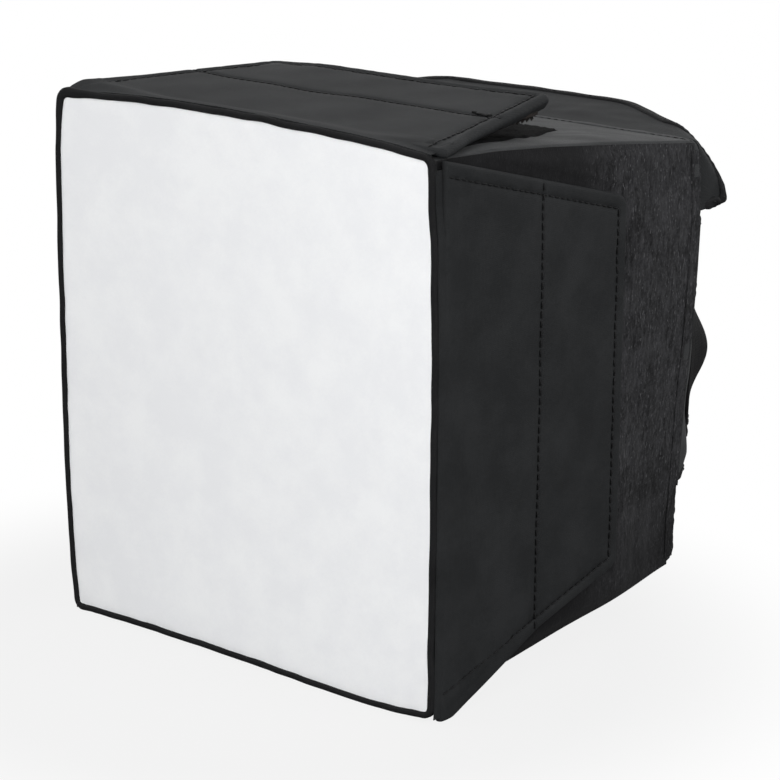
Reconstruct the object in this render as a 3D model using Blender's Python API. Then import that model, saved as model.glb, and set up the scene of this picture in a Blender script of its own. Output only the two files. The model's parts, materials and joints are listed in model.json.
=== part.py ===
"""Fold-flat softbox for a hand-held camera flash, front face towards -Y, standing on its bottom flap.

Metres, +Z up. The origin is on the underside of the bottom flap, at the middle of its front cell.
Depths are measured from the foremost edge of the front binding, which lies ORIGIN_DEPTH ahead of it.
"""

import bmesh
import bpy
from math import atan2, cos, pi, radians, sin
from mathutils import Matrix, Vector

# Overall sizes
FRONT_WIDTH = 0.150
FRONT_HEIGHT = 0.170
BODY_DEPTH = 0.130
BODY_REAR_WIDTH = 0.144
BODY_REAR_HEIGHT = 0.140

# Cloths and boards
CLEARANCE = 0.0003
COVER_CLOTH = 0.0005
BOARD_THICKNESS = 0.0010
PANEL_CLOTH = 0.0012
LINING_CLOTH = 0.0005
DIFFUSER_CLOTH = 0.0006
NECK_CLOTH = 0.0014
FLAP_THICKNESS = BOARD_THICKNESS + 2 * (COVER_CLOTH + CLEARANCE)

# Front edge: a folded tape all round, with the diffuser stretched inside it
BINDING_FACE = 0.0020
BINDING_DEPTH = 0.0036
BINDING_ROUND = 0.0006
FRONT_CORNER = 0.0035
DIFFUSER_SETBACK = 0.0005
DIFFUSER_BOW = 0.0010
DIFFUSER_CORNER = 0.0006

# Stiffened flaps, each of two boarded cells with a sewn fold between them
LEVEL_FRONT_CELL = 0.0400
LEVEL_REAR_CELL = 0.0330
UPRIGHT_FRONT_CELL = 0.0437
UPRIGHT_REAR_CELL = 0.0407
FOLD_GAP = 0.0008
LEVEL_FLAP_REAR = 0.112
UPRIGHT_FLAP_REAR = 0.118
TOP_FLAP_LIFT = 2.4
FLAP_CORNER = 0.0035
FLAP_EDGE_ROUND = 0.0009
SEAM_MARGIN = 0.0045
BOARD_CORNER = 0.0020

# Hook pads under the rear cells
HOOK_PAD_THICKNESS = 0.0010
HOOK_PAD_LENGTH = 0.018
HOOK_PAD_WIDTH = 0.014
HOOK_PAD_CORNER = 0.0020
HOOK_PAD_FROM_END = 0.0060

# Soft body
TOP_PANEL_BELLY = 0.0015
BOTTOM_PANEL_HOLLOW = 0.0010
PANEL_EDGE_POWER = 6
SEAM_RADIUS = 0.0015
HEM_WIDTH = 0.0037
HEM_THICKNESS = 0.0020
HEM_CORNER = 0.0040
HEM_ROUND = 0.0005

# Neck: an arched hood flap above and below, a leaning flap on each side
HOOD_DEPTH = 0.033
HOOD_WING = 0.022
HOOD_WING_DEPTH = 0.021
HOOD_WING_CORNER = 0.006
HOOD_CROWN = 0.0015
HOOD_SLACK_RIGHT = 0.013
HOOD_SLACK_LEFT = 0.007
HOOD_SHOULDER_RIGHT = 0.030
HOOD_SHOULDER_LEFT = 0.055
BOTTOM_HOOD_ROOT = 0.120
BOTTOM_HOOD_TIP = 0.088
BOTTOM_HOOD_CORNER = 0.008
BOTTOM_HOOD_DROOP = 0.004
NECK_FLAP_ROOT = 0.088
NECK_FLAP_TIP = 0.076
NECK_FLAP_DEPTH = 0.046
NECK_FLAP_CORNER = 0.010
NECK_LEAN = 37.0
NECK_BINDING_RADIUS = 0.0009

# Retaining strap on each leaning neck flap
STRAP_WIDTH = 0.020
STRAP_CLOTH = 0.0010
STRAP_FREE_LENGTH = 0.038
STRAP_BULGE = 0.0060
STRAP_TAB = 0.010
STRAP_ANCHOR = 0.008
STRAP_CENTRE_DEPTH = 0.030
STRAP_CENTRE_DROP = 0.007
PATCH_THICKNESS = 0.0005
PATCH_MARGIN = 0.0010

# Mesh fineness
ARC_STEPS = 5
PANEL_COLUMNS = 12
PANEL_ROWS = 10
HOOD_COLUMNS = 14
STRAP_STEPS = 20
EDGE_SEGMENTS = 3

# Places that follow from the sizes
MIDDLE_HEIGHT = FRONT_HEIGHT / 2
DIFFUSER_BACK = DIFFUSER_SETBACK + DIFFUSER_CLOTH
BODY_START = DIFFUSER_BACK + DIFFUSER_BOW + CLEARANCE
BODY_SETBACK = FLAP_THICKNESS + CLEARANCE
SIDE_PANEL_HOLLOW = 2 * HOOK_PAD_THICKNESS + CLEARANCE
PANEL_END = BODY_DEPTH - HEM_WIDTH - CLEARANCE
FLAP_START = BINDING_DEPTH + CLEARANCE
NECK_AXIS = BODY_DEPTH + CLEARANCE + NECK_CLOTH / 2
ORIGIN_DEPTH = FLAP_START + LEVEL_FRONT_CELL / 2

SIDES = ("top", "right", "bottom", "left")
QUARTER_TURNS = {"top": 0, "right": 1, "bottom": 2, "left": 3}
CORNERS = {"top_right": (1, 1), "bottom_right": (1, -1), "bottom_left": (-1, -1), "top_left": (-1, 1)}
PANEL_BELLY = {
    "top": TOP_PANEL_BELLY,
    "right": -SIDE_PANEL_HOLLOW,
    "bottom": -BOTTOM_PANEL_HOLLOW,
    "left": -SIDE_PANEL_HOLLOW,
}


def clear_scene():
    for obj in list(bpy.data.objects):
        bpy.data.objects.remove(obj, do_unlink=True)


def make_material(name, colour, roughness, metallic=0.0):
    material = bpy.data.materials.new(name)
    material.use_nodes = True
    shader = material.node_tree.nodes["Principled BSDF"]
    shader.inputs["Base Color"].default_value = (*colour, 1.0)
    shader.inputs["Roughness"].default_value = roughness
    shader.inputs["Metallic"].default_value = metallic
    return material


def make_materials():
    return {
        "nylon": make_material("black_nylon", (0.024, 0.025, 0.027), 0.72),
        "pile": make_material("black_loop_pile", (0.030, 0.030, 0.032), 0.90),
        "tape": make_material("black_binding_tape", (0.010, 0.010, 0.011), 0.80),
        "silver": make_material("silver_lining", (0.72, 0.73, 0.74), 0.35, 0.85),
        "diffuser": make_material("white_diffuser_cloth", (0.90, 0.91, 0.92), 0.85),
        "board": make_material("grey_stiffener_board", (0.20, 0.20, 0.19), 0.80),
        "hook": make_material("hook_tape", (0.018, 0.016, 0.015), 0.75),
        "loop": make_material("loop_tape", (0.014, 0.014, 0.015), 0.95),
        "elastic": make_material("black_elastic", (0.012, 0.012, 0.013), 0.85),
    }


def add_object(name, data, material, parent=None):
    obj = bpy.data.objects.new(name, data)
    bpy.context.scene.collection.objects.link(obj)
    if material is not None:
        data.materials.append(material)
    obj.parent = parent
    return obj


def add_mesh(name, bm, material, parent=None, smooth=True):
    mesh = bpy.data.meshes.new(name)
    bm.to_mesh(mesh)
    bm.free()
    if smooth:
        mesh.shade_smooth()
        mesh.set_sharp_from_angle(angle=radians(35))
    return add_object(name, mesh, material, parent)


def add_empty(name, matrix, parent=None):
    empty = bpy.data.objects.new(name, None)
    bpy.context.scene.collection.objects.link(empty)
    empty.empty_display_size = 0.01
    empty.parent = parent
    empty.matrix_basis = matrix
    return empty


def side_matrix(side):
    """Frame of one side, about the middle of the front: X along its edge, Y to the rear, Z outwards."""
    return Matrix.Rotation(QUARTER_TURNS[side] * pi / 2, 4, "Y")


def is_level(side):
    return side in ("top", "bottom")


def front_half_length(side):
    return (FRONT_WIDTH if is_level(side) else FRONT_HEIGHT) / 2


def front_distance(side):
    return (FRONT_HEIGHT if is_level(side) else FRONT_WIDTH) / 2


def rear_half_length(side):
    return (BODY_REAR_WIDTH if is_level(side) else BODY_REAR_HEIGHT) / 2


def rear_distance(side):
    return (BODY_REAR_HEIGHT if is_level(side) else BODY_REAR_WIDTH) / 2


def front_cell_length(side):
    return LEVEL_FRONT_CELL if is_level(side) else UPRIGHT_FRONT_CELL


def rear_cell_length(side):
    return LEVEL_REAR_CELL if is_level(side) else UPRIGHT_REAR_CELL


def flap_length(side):
    return front_cell_length(side) + FOLD_GAP + rear_cell_length(side)


def mix(start, end, share):
    return start + (end - start) * share


def body_share(depth):
    """How far along the body's taper a depth lies, 0 at its front edge and 1 at the rear face."""
    return (depth - BODY_START) / (BODY_DEPTH - BODY_START)


def rounded_outline(corners, steps=ARC_STEPS):
    """Polygon through corners (x, y, radius), each with an arc of its radius where that isn't 0."""
    points = []
    for index, (x, y, radius) in enumerate(corners):
        here = Vector((x, y))
        if radius == 0:
            points.append(here)
            continue
        before = (Vector(corners[index - 1][:2]) - here).normalized()
        after = (Vector(corners[(index + 1) % len(corners)][:2]) - here).normalized()
        half_angle = before.angle(after) / 2
        centre = here + (before + after).normalized() * (radius / sin(half_angle))
        start = here + before * (radius * cos(half_angle) / sin(half_angle)) - centre
        end = here + after * (radius * cos(half_angle) / sin(half_angle)) - centre
        sweep = start.angle_signed(end)
        for step in range(steps + 1):
            turned = start.copy()
            turned.rotate(Matrix.Rotation(-sweep * step / steps, 2))
            points.append(centre + turned)
    return points


def rounded_rectangle(half_width, half_height, radius, steps=ARC_STEPS):
    corners = [
        (-half_width, -half_height, radius),
        (half_width, -half_height, radius),
        (half_width, half_height, radius),
        (-half_width, half_height, radius),
    ]
    return rounded_outline(corners, steps)


def extruded(outline, top, bottom):
    """Solid of an outline in the XY plane, from height top down to height bottom."""
    bm = bmesh.new()
    face = bm.faces.new([bm.verts.new((point.x, point.y, top)) for point in outline])
    moved = bmesh.ops.extrude_face_region(bm, geom=[face], use_keep_orig=True)
    new_verts = [item for item in moved["geom"] if isinstance(item, bmesh.types.BMVert)]
    bmesh.ops.translate(bm, verts=new_verts, vec=(0, 0, bottom - top))
    bmesh.ops.recalc_face_normals(bm, faces=bm.faces)
    return bm


def round_rims(bm, radius, keep_sharp_at=None, segments=EDGE_SEGMENTS):
    """Round the edges of both caps, apart from those that lie on the line y = keep_sharp_at."""

    def is_rim(edge):
        first, second = (vert.co for vert in edge.verts)
        if abs(first.z - second.z) > 1e-6:
            return False
        on_line = keep_sharp_at is not None and max(
            abs(first.y - keep_sharp_at), abs(second.y - keep_sharp_at)
        ) < 1e-6
        return not on_line

    rims = [edge for edge in bm.edges if is_rim(edge)]
    bmesh.ops.bevel(bm, geom=rims, offset=radius, segments=segments, profile=0.5, affect="EDGES")


def ring(outline_sizes, profile, steps=ARC_STEPS):
    """Closed ring round the Y axis: profile points are (inset from the outer outline, depth)."""
    half_width, half_height, radius = outline_sizes
    bm = bmesh.new()
    loops = []
    for inset, depth in profile:
        outline = rounded_rectangle(half_width - inset, half_height - inset, radius - inset, steps)
        loops.append([bm.verts.new((point.x, depth, point.y)) for point in outline])
    count = len(loops[0])
    for index, loop in enumerate(loops):
        following = loops[(index + 1) % len(loops)]
        for step in range(count):
            after = (step + 1) % count
            bm.faces.new((loop[step], loop[after], following[after], following[step]))
    bmesh.ops.recalc_face_normals(bm, faces=bm.faces)
    return bm


def ring_profile(thickness, start, end, radius):
    """Rounded rectangle of (inset, depth) points."""
    centre_inset = thickness / 2
    centre_depth = (start + end) / 2
    outline = rounded_rectangle(thickness / 2, (end - start) / 2, radius, EDGE_SEGMENTS)
    return [(centre_inset + point.x, centre_depth + point.y) for point in outline]


def formed_sheet(name, form, columns, rows, thickness, offset, material, parent):
    """Sheet of cloth: a grid over -1..1 across and 0..1 along, shaped by form, then given its thickness."""
    bm = bmesh.new()
    bmesh.ops.create_grid(bm, x_segments=columns, y_segments=rows, size=1.0)
    for vert in bm.verts:
        vert.co = form(vert.co.x, (vert.co.y + 1) / 2)
    obj = add_mesh(name, bm, material, parent)
    solidify = obj.modifiers.new("Cloth thickness", "SOLIDIFY")
    solidify.thickness = thickness
    solidify.offset = offset
    return obj


def tube(name, points, radius, material, parent=None, sides_level=1):
    """Round cord or tape edge along a line of points."""
    curve = bpy.data.curves.new(name, "CURVE")
    curve.dimensions = "3D"
    spline = curve.splines.new("POLY")
    spline.points.add(len(points) - 1)
    for target, point in zip(spline.points, points):
        target.co = (*point, 1)
    curve.bevel_depth = radius
    curve.bevel_resolution = sides_level
    curve.use_fill_caps = True
    return add_object(name, curve, material, parent)


def make_front_edge(middle, materials):
    """Binding tape round the front and the white cloth inside it, drawn in a little at its middle."""
    outline_sizes = (FRONT_WIDTH / 2, FRONT_HEIGHT / 2, FRONT_CORNER)
    profile = ring_profile(BINDING_FACE, 0, BINDING_DEPTH, BINDING_ROUND)
    add_mesh("front_binding", ring(outline_sizes, profile), materials["tape"], middle)

    half_width = FRONT_WIDTH / 2 - BINDING_FACE - CLEARANCE
    half_height = FRONT_HEIGHT / 2 - BINDING_FACE - CLEARANCE

    def form(across, along):
        up = 2 * along - 1
        bow = DIFFUSER_BOW * (1 - across**2) * (1 - up**2)
        corner = DIFFUSER_CORNER * (across * up) ** 8
        x = across * (half_width - corner)
        z = up * (half_height - corner)
        return Vector((x, DIFFUSER_SETBACK + bow, z))

    cloth = materials["diffuser"]
    formed_sheet("diffuser", form, PANEL_COLUMNS, PANEL_COLUMNS, DIFFUSER_CLOTH, -1, cloth, middle)


def body_half_length(side, depth):
    front = front_half_length(side) - BODY_SETBACK
    return mix(front, rear_half_length(side), body_share(depth))


def body_distance(side, depth):
    front = front_distance(side) - BODY_SETBACK
    return mix(front, rear_distance(side), body_share(depth))


def make_body_sheet(name, side, inset, thickness, material, middle):
    """One wall of the soft body, or its lining, between the corner seams."""
    seam_room = 2 * SEAM_RADIUS + CLEARANCE

    def form(across, along):
        depth = mix(BODY_START, PANEL_END, along)
        belly = PANEL_BELLY[side] * sin(pi * along) * (1 - across**PANEL_EDGE_POWER)
        half_length = body_half_length(side, depth) - seam_room
        return Vector((across * half_length, depth, body_distance(side, depth) - inset + belly))

    obj = formed_sheet(name, form, PANEL_COLUMNS, PANEL_ROWS, thickness, -1, material, middle)
    obj.matrix_basis = side_matrix(side)


def make_body(middle, materials):
    """Four soft walls with their silver linings, the seams at their corners and the hem at the rear."""
    for side in SIDES:
        cloth = materials["nylon"] if is_level(side) else materials["pile"]
        make_body_sheet(f"panel_{side}", side, 0, PANEL_CLOTH, cloth, middle)
        lining_inset = PANEL_CLOTH + CLEARANCE
        make_body_sheet(f"lining_{side}", side, lining_inset, LINING_CLOTH, materials["silver"], middle)

    for corner, (right, up) in CORNERS.items():
        points = []
        for depth in (BODY_START, PANEL_END):
            x = right * (body_half_length("top", depth) - SEAM_RADIUS)
            z = up * (body_half_length("right", depth) - SEAM_RADIUS)
            points.append((x, depth, z))
        tube(f"corner_seam_{corner}", points, SEAM_RADIUS, materials["nylon"], middle)

    outline_sizes = (BODY_REAR_WIDTH / 2, BODY_REAR_HEIGHT / 2, HEM_CORNER)
    profile = ring_profile(HEM_THICKNESS, BODY_DEPTH - HEM_WIDTH, BODY_DEPTH, HEM_ROUND)
    add_mesh("rear_hem", ring(outline_sizes, profile), materials["tape"], middle)


def flap_half_length(side, depth):
    """Half length of a flap at a distance behind its hinge: a straight taper from corner to corner."""
    front = front_half_length(side) - FLAP_THICKNESS - CLEARANCE
    rear = (LEVEL_FLAP_REAR if is_level(side) else UPRIGHT_FLAP_REAR) / 2
    return mix(front, rear, depth / flap_length(side))


def cell_outline(side, start, end, origin, inset, front_inset, rear_inset, front_round, rear_round):
    """Trapezoid of one cell, drawn in by inset along its sloping sides, in its own hinge frame."""
    near, far = start + front_inset, end - rear_inset
    near_half = flap_half_length(side, near) - inset
    far_half = flap_half_length(side, far) - inset
    corners = [
        (-near_half, near - origin, front_round),
        (near_half, near - origin, front_round),
        (far_half, far - origin, rear_round),
        (-far_half, far - origin, rear_round),
    ]
    return rounded_outline(corners)


def make_cell(side, cell, start, end, origin, parent, materials):
    """Boarded cell: a sewn cover, open at the fold, round a stiffening board."""
    front_cell = cell == "front"
    fold = (end if front_cell else start) - origin
    rounds = (0, 0) if front_cell else (0, FLAP_CORNER)
    outline = cell_outline(side, start, end, origin, 0, 0, 0, *rounds)
    slab = extruded(outline, 0, -FLAP_THICKNESS)
    round_rims(slab, FLAP_EDGE_ROUND, keep_sharp_at=fold)
    cover = add_mesh(f"flap_{side}_{cell}_cover", slab, materials["nylon"], parent)

    pocket_insets = (SEAM_MARGIN, -SEAM_MARGIN) if front_cell else (-SEAM_MARGIN, SEAM_MARGIN)
    pocket_outline = cell_outline(
        side, start, end, origin, SEAM_MARGIN, *pocket_insets, BOARD_CORNER, BOARD_CORNER
    )
    pocket_bm = extruded(pocket_outline, -COVER_CLOTH, COVER_CLOTH - FLAP_THICKNESS)
    pocket = add_mesh(f"pocket_{side}_{cell}", pocket_bm, None, parent, smooth=False)
    pocket.hide_render = True
    pocket.display_type = "WIRE"
    cut = cover.modifiers.new("Board pocket", "BOOLEAN")
    cut.operation = "DIFFERENCE"
    cut.solver = "EXACT"
    cut.object = pocket

    board_margin = SEAM_MARGIN + CLEARANCE
    board_insets = (board_margin, CLEARANCE) if front_cell else (CLEARANCE, board_margin)
    board_outline = cell_outline(
        side, start, end, origin, board_margin, *board_insets, BOARD_CORNER, BOARD_CORNER
    )
    board_top = -COVER_CLOTH - CLEARANCE
    board = extruded(board_outline, board_top, board_top - BOARD_THICKNESS)
    add_mesh(f"flap_{side}_{cell}_board", board, materials["board"], parent, smooth=False)


def make_hook_pads(side, start, parent, materials):
    """A pad of hook tape under each end of a rear cell."""
    half_cell = rear_cell_length(side) / 2
    reach = flap_half_length(side, start + half_cell) - HOOK_PAD_FROM_END - HOOK_PAD_LENGTH / 2
    top = -FLAP_THICKNESS - CLEARANCE
    for letter, sign in (("a", -1), ("b", 1)):
        outline = rounded_rectangle(HOOK_PAD_LENGTH / 2, HOOK_PAD_WIDTH / 2, HOOK_PAD_CORNER)
        shifted = [point + Vector((sign * reach, FOLD_GAP / 2 + half_cell)) for point in outline]
        pad = extruded(shifted, top, top - HOOK_PAD_THICKNESS)
        add_mesh(f"hook_pad_{side}_{letter}", pad, materials["hook"], parent, smooth=False)


def flap_lift(side):
    """Angle at which a flap rises to the rear.

    A flap is square to the front, unless its wall flares beyond it or the rear hem has to pass
    inside its hook pads as the body folds flat. The top one isn't pressed down.
    """
    wall_rise = rear_distance(side) - (front_distance(side) - BODY_SETBACK)
    wall_slope = atan2(wall_rise, BODY_DEPTH - BODY_START)
    pad_start = front_cell_length(side) + FOLD_GAP + (rear_cell_length(side) - HOOK_PAD_WIDTH) / 2
    pad_height = front_distance(side) - FLAP_THICKNESS - CLEARANCE - HOOK_PAD_THICKNESS
    pass_slope = atan2(rear_distance(side) + CLEARANCE - pad_height, pad_start)
    loose = radians(TOP_FLAP_LIFT) if side == "top" else 0
    return max(wall_slope, pass_slope, 0) + loose


def make_flap(side, middle, materials):
    """Two-cell flap, hinged on its outer face behind the binding and again at its sewn fold."""
    hinge_place = Matrix.Translation((0, FLAP_START, front_distance(side)))
    lift = Matrix.Rotation(flap_lift(side), 4, "X")
    hinge = add_empty(f"hinge_flap_{side}", side_matrix(side) @ hinge_place @ lift, middle)
    fold_depth = front_cell_length(side) + FOLD_GAP / 2
    fold = add_empty(f"fold_flap_{side}", Matrix.Translation((0, fold_depth, 0)), hinge)
    make_cell(side, "front", 0, front_cell_length(side), 0, hinge, materials)
    rear_start = front_cell_length(side) + FOLD_GAP
    make_cell(side, "rear", rear_start, flap_length(side), fold_depth, fold, materials)
    make_hook_pads(side, rear_start, fold, materials)


def tongue_rows(half_root, half_tip, depth, corner, rows):
    """Half length and depth of each row of a tapering flap whose free corners are rounded."""
    straight = depth - corner
    result = [(mix(half_root, half_tip, straight * row / rows / depth), straight * row / rows)
              for row in range(rows)]
    for step in range(ARC_STEPS + 1):
        angle = step / ARC_STEPS * pi / 2
        along = straight + corner * sin(angle)
        half = mix(half_root, half_tip, along / depth) - corner * (1 - cos(angle))
        result.append((half, along))
    return result


def tongue_sheet(name, rows, columns, rise, material, parent):
    """Flap of cloth about its middle surface, from a hinge line at y = 0; rise gives its height."""

    def form(across, along):
        half, depth = rows[round(along * (len(rows) - 1))]
        return Vector((across * half, depth, rise(across * half, depth)))

    return formed_sheet(name, form, columns, len(rows) - 1, NECK_CLOTH, 0, material, parent)


def bound_edge(name, points, inners, material, parent):
    """Round tape along a free edge; each inner point lies on the cloth, inside its point of the edge."""
    middles = []
    for index, (point, inner) in enumerate(zip(points, inners)):
        heading = points[min(index + 1, len(points) - 1)] - points[max(index - 1, 0)]
        heading.normalize()
        outwards = point - inner
        outwards = (outwards - heading * outwards.dot(heading)).normalized()
        middles.append(point + outwards * (NECK_BINDING_RADIUS + CLEARANCE))
    tube(name, middles, NECK_BINDING_RADIUS, material, parent)


def tongue_binding(name, rows, columns, rise, material, parent):
    """Tape along the free edge of a flap of cloth, from one end of its root to the other."""
    edge = [Vector((half, depth)) for half, depth in rows[1:]]
    last_half, last_depth = rows[-1]
    across = [Vector((last_half * (1 - 2 * step / columns), last_depth)) for step in range(1, columns)]
    mirrored = [Vector((-point.x, point.y)) for point in reversed(edge)]
    plan = edge + across + mirrored

    def on_cloth(point):
        return Vector((point.x, point.y, rise(point.x, point.y)))

    inners = []
    for index, point in enumerate(plan):
        heading = (plan[min(index + 1, len(plan) - 1)] - plan[max(index - 1, 0)]).normalized()
        inners.append(on_cloth(point - Vector((heading.y, -heading.x)) * NECK_CLOTH))
    bound_edge(name, [on_cloth(point) for point in plan], inners, material, parent)


def wing_steps():
    """Distances over the wing's lower edge at which its rounded corner is drawn, up to its full height."""
    arc = [HOOD_WING_CORNER * (1 - cos(step / ARC_STEPS * pi / 2)) for step in range(ARC_STEPS + 1)]
    return arc + [(HOOD_WING_CORNER + HOOD_WING) / 2]


def hood_outline(half_width, slack_right, slack_left):
    """Section of the top hood from its left wing to its right one, with the slack of its rounded shoulders."""
    sides = []
    for slack in (slack_left, slack_right):
        points = [Vector((half_width, (height - HOOD_WING) * (HOOD_WING - slack) / HOOD_WING - slack))
                  for height in wing_steps()]
        for step in range(ARC_STEPS + 1):
            angle = step / ARC_STEPS * pi / 2
            points.append(Vector((half_width - slack * (1 - cos(angle)), -slack * (1 - sin(angle)))))
        sides.append(points)
    left = [Vector((-point.x, point.y)) for point in sides[0]]
    level = [left[-1].lerp(sides[1][-1], step / HOOD_COLUMNS) for step in range(1, HOOD_COLUMNS)]
    return left + level + sides[1][::-1]


def hood_depth(x, height, half_width):
    """How far the top hood reaches back: furthest at its middle, least at its wings' lower corners."""
    shoulder = HOOD_SHOULDER_RIGHT if x > 0 else HOOD_SHOULDER_LEFT
    share = min(max((abs(x) - shoulder) / (half_width - shoulder), 0), 1)
    depth = mix(HOOD_DEPTH, HOOD_WING_DEPTH, share**2 * (3 - 2 * share))
    short = max(HOOD_WING_CORNER - height, 0)
    return depth - HOOD_WING_CORNER + (HOOD_WING_CORNER**2 - short**2) ** 0.5


def make_top_hood(middle, materials):
    """Top hood: hinged along the hem's upper edge, its ends wrapping down behind the hem's sides."""
    axis_place = Matrix.Translation((0, NECK_AXIS, rear_distance("top") - NECK_CLOTH / 2))
    hinge = add_empty("hinge_hood_top", axis_place, middle)
    half_width = rear_half_length("top") - NECK_CLOTH / 2
    root = hood_outline(half_width, HEM_CORNER, HEM_CORNER)
    tip = hood_outline(half_width, HOOD_SLACK_RIGHT, HOOD_SLACK_LEFT)
    columns = len(root) - 1

    def on_cloth(column, along):
        height = HOOD_WING + root[column].y
        place = root[column].lerp(tip[column], along)
        crown = HOOD_CROWN * along * (1 - (place.x / half_width) ** 2)
        return Vector((place.x, along * hood_depth(root[column].x, height, half_width), place.y + crown))

    def form(across, along):
        return on_cloth(round((across + 1) / 2 * columns), along)

    formed_sheet("hood_top", form, columns, PANEL_ROWS, NECK_CLOTH, 0, materials["nylon"], hinge)
    rows = [(row + 1) / PANEL_ROWS for row in range(PANEL_ROWS)]
    inner_row = 1 - 1 / PANEL_ROWS
    points = [on_cloth(0, along) for along in rows[:-1]]
    inners = [on_cloth(1, along) for along in rows[:-1]]
    points += [on_cloth(column, 1) for column in range(columns + 1)]
    inners += [on_cloth(column, inner_row) for column in range(columns + 1)]
    points += [on_cloth(columns, along) for along in reversed(rows[:-1])]
    inners += [on_cloth(columns - 1, along) for along in reversed(rows[:-1])]
    bound_edge("hood_top_binding", points, inners, materials["tape"], hinge)


def make_bottom_hood(middle, materials):
    """Bottom hood: a narrower flap hinged along the hem's lower edge, its corners drooping."""
    axis_place = Matrix.Translation((0, NECK_AXIS, rear_distance("bottom") - NECK_CLOTH / 2))
    hinge = add_empty("hinge_hood_bottom", side_matrix("bottom") @ axis_place, middle)

    def rise(x, depth):
        return -BOTTOM_HOOD_DROOP * (2 * x / BOTTOM_HOOD_TIP * depth / HOOD_DEPTH) ** 2

    halves = (BOTTOM_HOOD_ROOT / 2, BOTTOM_HOOD_TIP / 2)
    rows = tongue_rows(*halves, HOOD_DEPTH, BOTTOM_HOOD_CORNER, PANEL_ROWS)
    tongue_sheet("hood_bottom", rows, HOOD_COLUMNS, rise, materials["nylon"], hinge)
    tongue_binding("hood_bottom_binding", rows, HOOD_COLUMNS, rise, materials["tape"], hinge)


def make_neck_flap(side, middle, materials):
    """Leaning neck flap with its bound edge, and the strap sewn on its outer face."""
    axis_place = Matrix.Translation((0, NECK_AXIS, rear_distance(side) - NECK_CLOTH / 2))
    lean = Matrix.Rotation(-radians(NECK_LEAN), 4, "X")
    hinge = add_empty(f"hinge_neck_{side}", side_matrix(side) @ axis_place @ lean, middle)

    def rise(x, depth):
        return 0.0

    rows = tongue_rows(
        NECK_FLAP_ROOT / 2, NECK_FLAP_TIP / 2, NECK_FLAP_DEPTH, NECK_FLAP_CORNER, PANEL_ROWS // 2
    )
    tongue_sheet(f"neck_flap_{side}", rows, PANEL_COLUMNS, rise, materials["nylon"], hinge)
    tongue_binding(f"neck_flap_{side}_binding", rows, PANEL_COLUMNS, rise, materials["tape"], hinge)
    make_strap(side, hinge, materials)


def strap_height(along):
    """Height of the strap's underside over the flap's face, at a distance from its sewn end."""
    hook_end = 3 * CLEARANCE + 2 * PATCH_THICKNESS
    if along >= STRAP_FREE_LENGTH:
        return hook_end
    share = along / STRAP_FREE_LENGTH
    swell = STRAP_BULGE * sin(pi * share) ** 2
    return mix(CLEARANCE, hook_end, (1 - cos(pi * share)) / 2) + swell


def make_strap(side, hinge, materials):
    """Strap: a sewn anchor, a bowed band and a tab whose hook patch holds on a loop patch."""
    downwards = 1 if side == "right" else -1
    sewn_end = downwards * (STRAP_CENTRE_DROP - STRAP_FREE_LENGTH / 2)
    place = Matrix.Translation((sewn_end, STRAP_CENTRE_DEPTH, NECK_CLOTH / 2))
    if downwards < 0:
        place = place @ Matrix.Rotation(pi, 4, "Z")
    seat = add_empty(f"seat_strap_{side}", place, hinge)
    pivot_height = CLEARANCE + STRAP_CLOTH
    pivot = add_empty(f"pivot_strap_{side}", Matrix.Translation((0, 0, pivot_height)), seat)

    band_length = STRAP_FREE_LENGTH + STRAP_TAB

    def form(across, along):
        place_along = along * band_length
        height = strap_height(place_along) - pivot_height
        return Vector((place_along, -across * STRAP_WIDTH / 2, height))

    formed_sheet(f"strap_{side}", form, 2, STRAP_STEPS, STRAP_CLOTH, 1, materials["elastic"], pivot)

    def patch(name, start, end, bottom, thickness, material, parent):
        outline = rounded_rectangle((end - start) / 2, STRAP_WIDTH / 2 - PATCH_MARGIN, PATCH_MARGIN)
        shifted = [point + Vector(((start + end) / 2, 0)) for point in outline]
        solid = extruded(shifted, bottom + thickness, bottom)
        add_mesh(f"strap_{side}_{name}", solid, material, parent, smooth=False)

    anchor_end = -CLEARANCE
    patch("anchor", anchor_end - STRAP_ANCHOR, anchor_end, CLEARANCE, STRAP_CLOTH, materials["elastic"], seat)
    patch_start = STRAP_FREE_LENGTH + PATCH_MARGIN
    patch_end = band_length - PATCH_MARGIN
    patch("loop_patch", patch_start, patch_end, CLEARANCE, PATCH_THICKNESS, materials["loop"], seat)
    hook_bottom = 2 * CLEARANCE + PATCH_THICKNESS - pivot_height
    patch("hook_patch", patch_start, patch_end, hook_bottom, PATCH_THICKNESS, materials["hook"], pivot)


def main():
    clear_scene()
    materials = make_materials()
    middle = add_empty("front_middle", Matrix.Translation((0, -ORIGIN_DEPTH, MIDDLE_HEIGHT)))
    make_front_edge(middle, materials)
    make_body(middle, materials)
    for side in SIDES:
        make_flap(side, middle, materials)
    make_top_hood(middle, materials)
    make_bottom_hood(middle, materials)
    for side in ("right", "left"):
        make_neck_flap(side, middle, materials)


main()
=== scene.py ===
"""The looks of the fold-flat softbox: its cloths, bound edges, stitches, hook and loop tapes, and studio."""

import json
from math import atan2, cos, hypot, pi, radians, sin
from types import SimpleNamespace

import bpy
import numpy as np
from mathutils import Matrix, Vector

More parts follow.
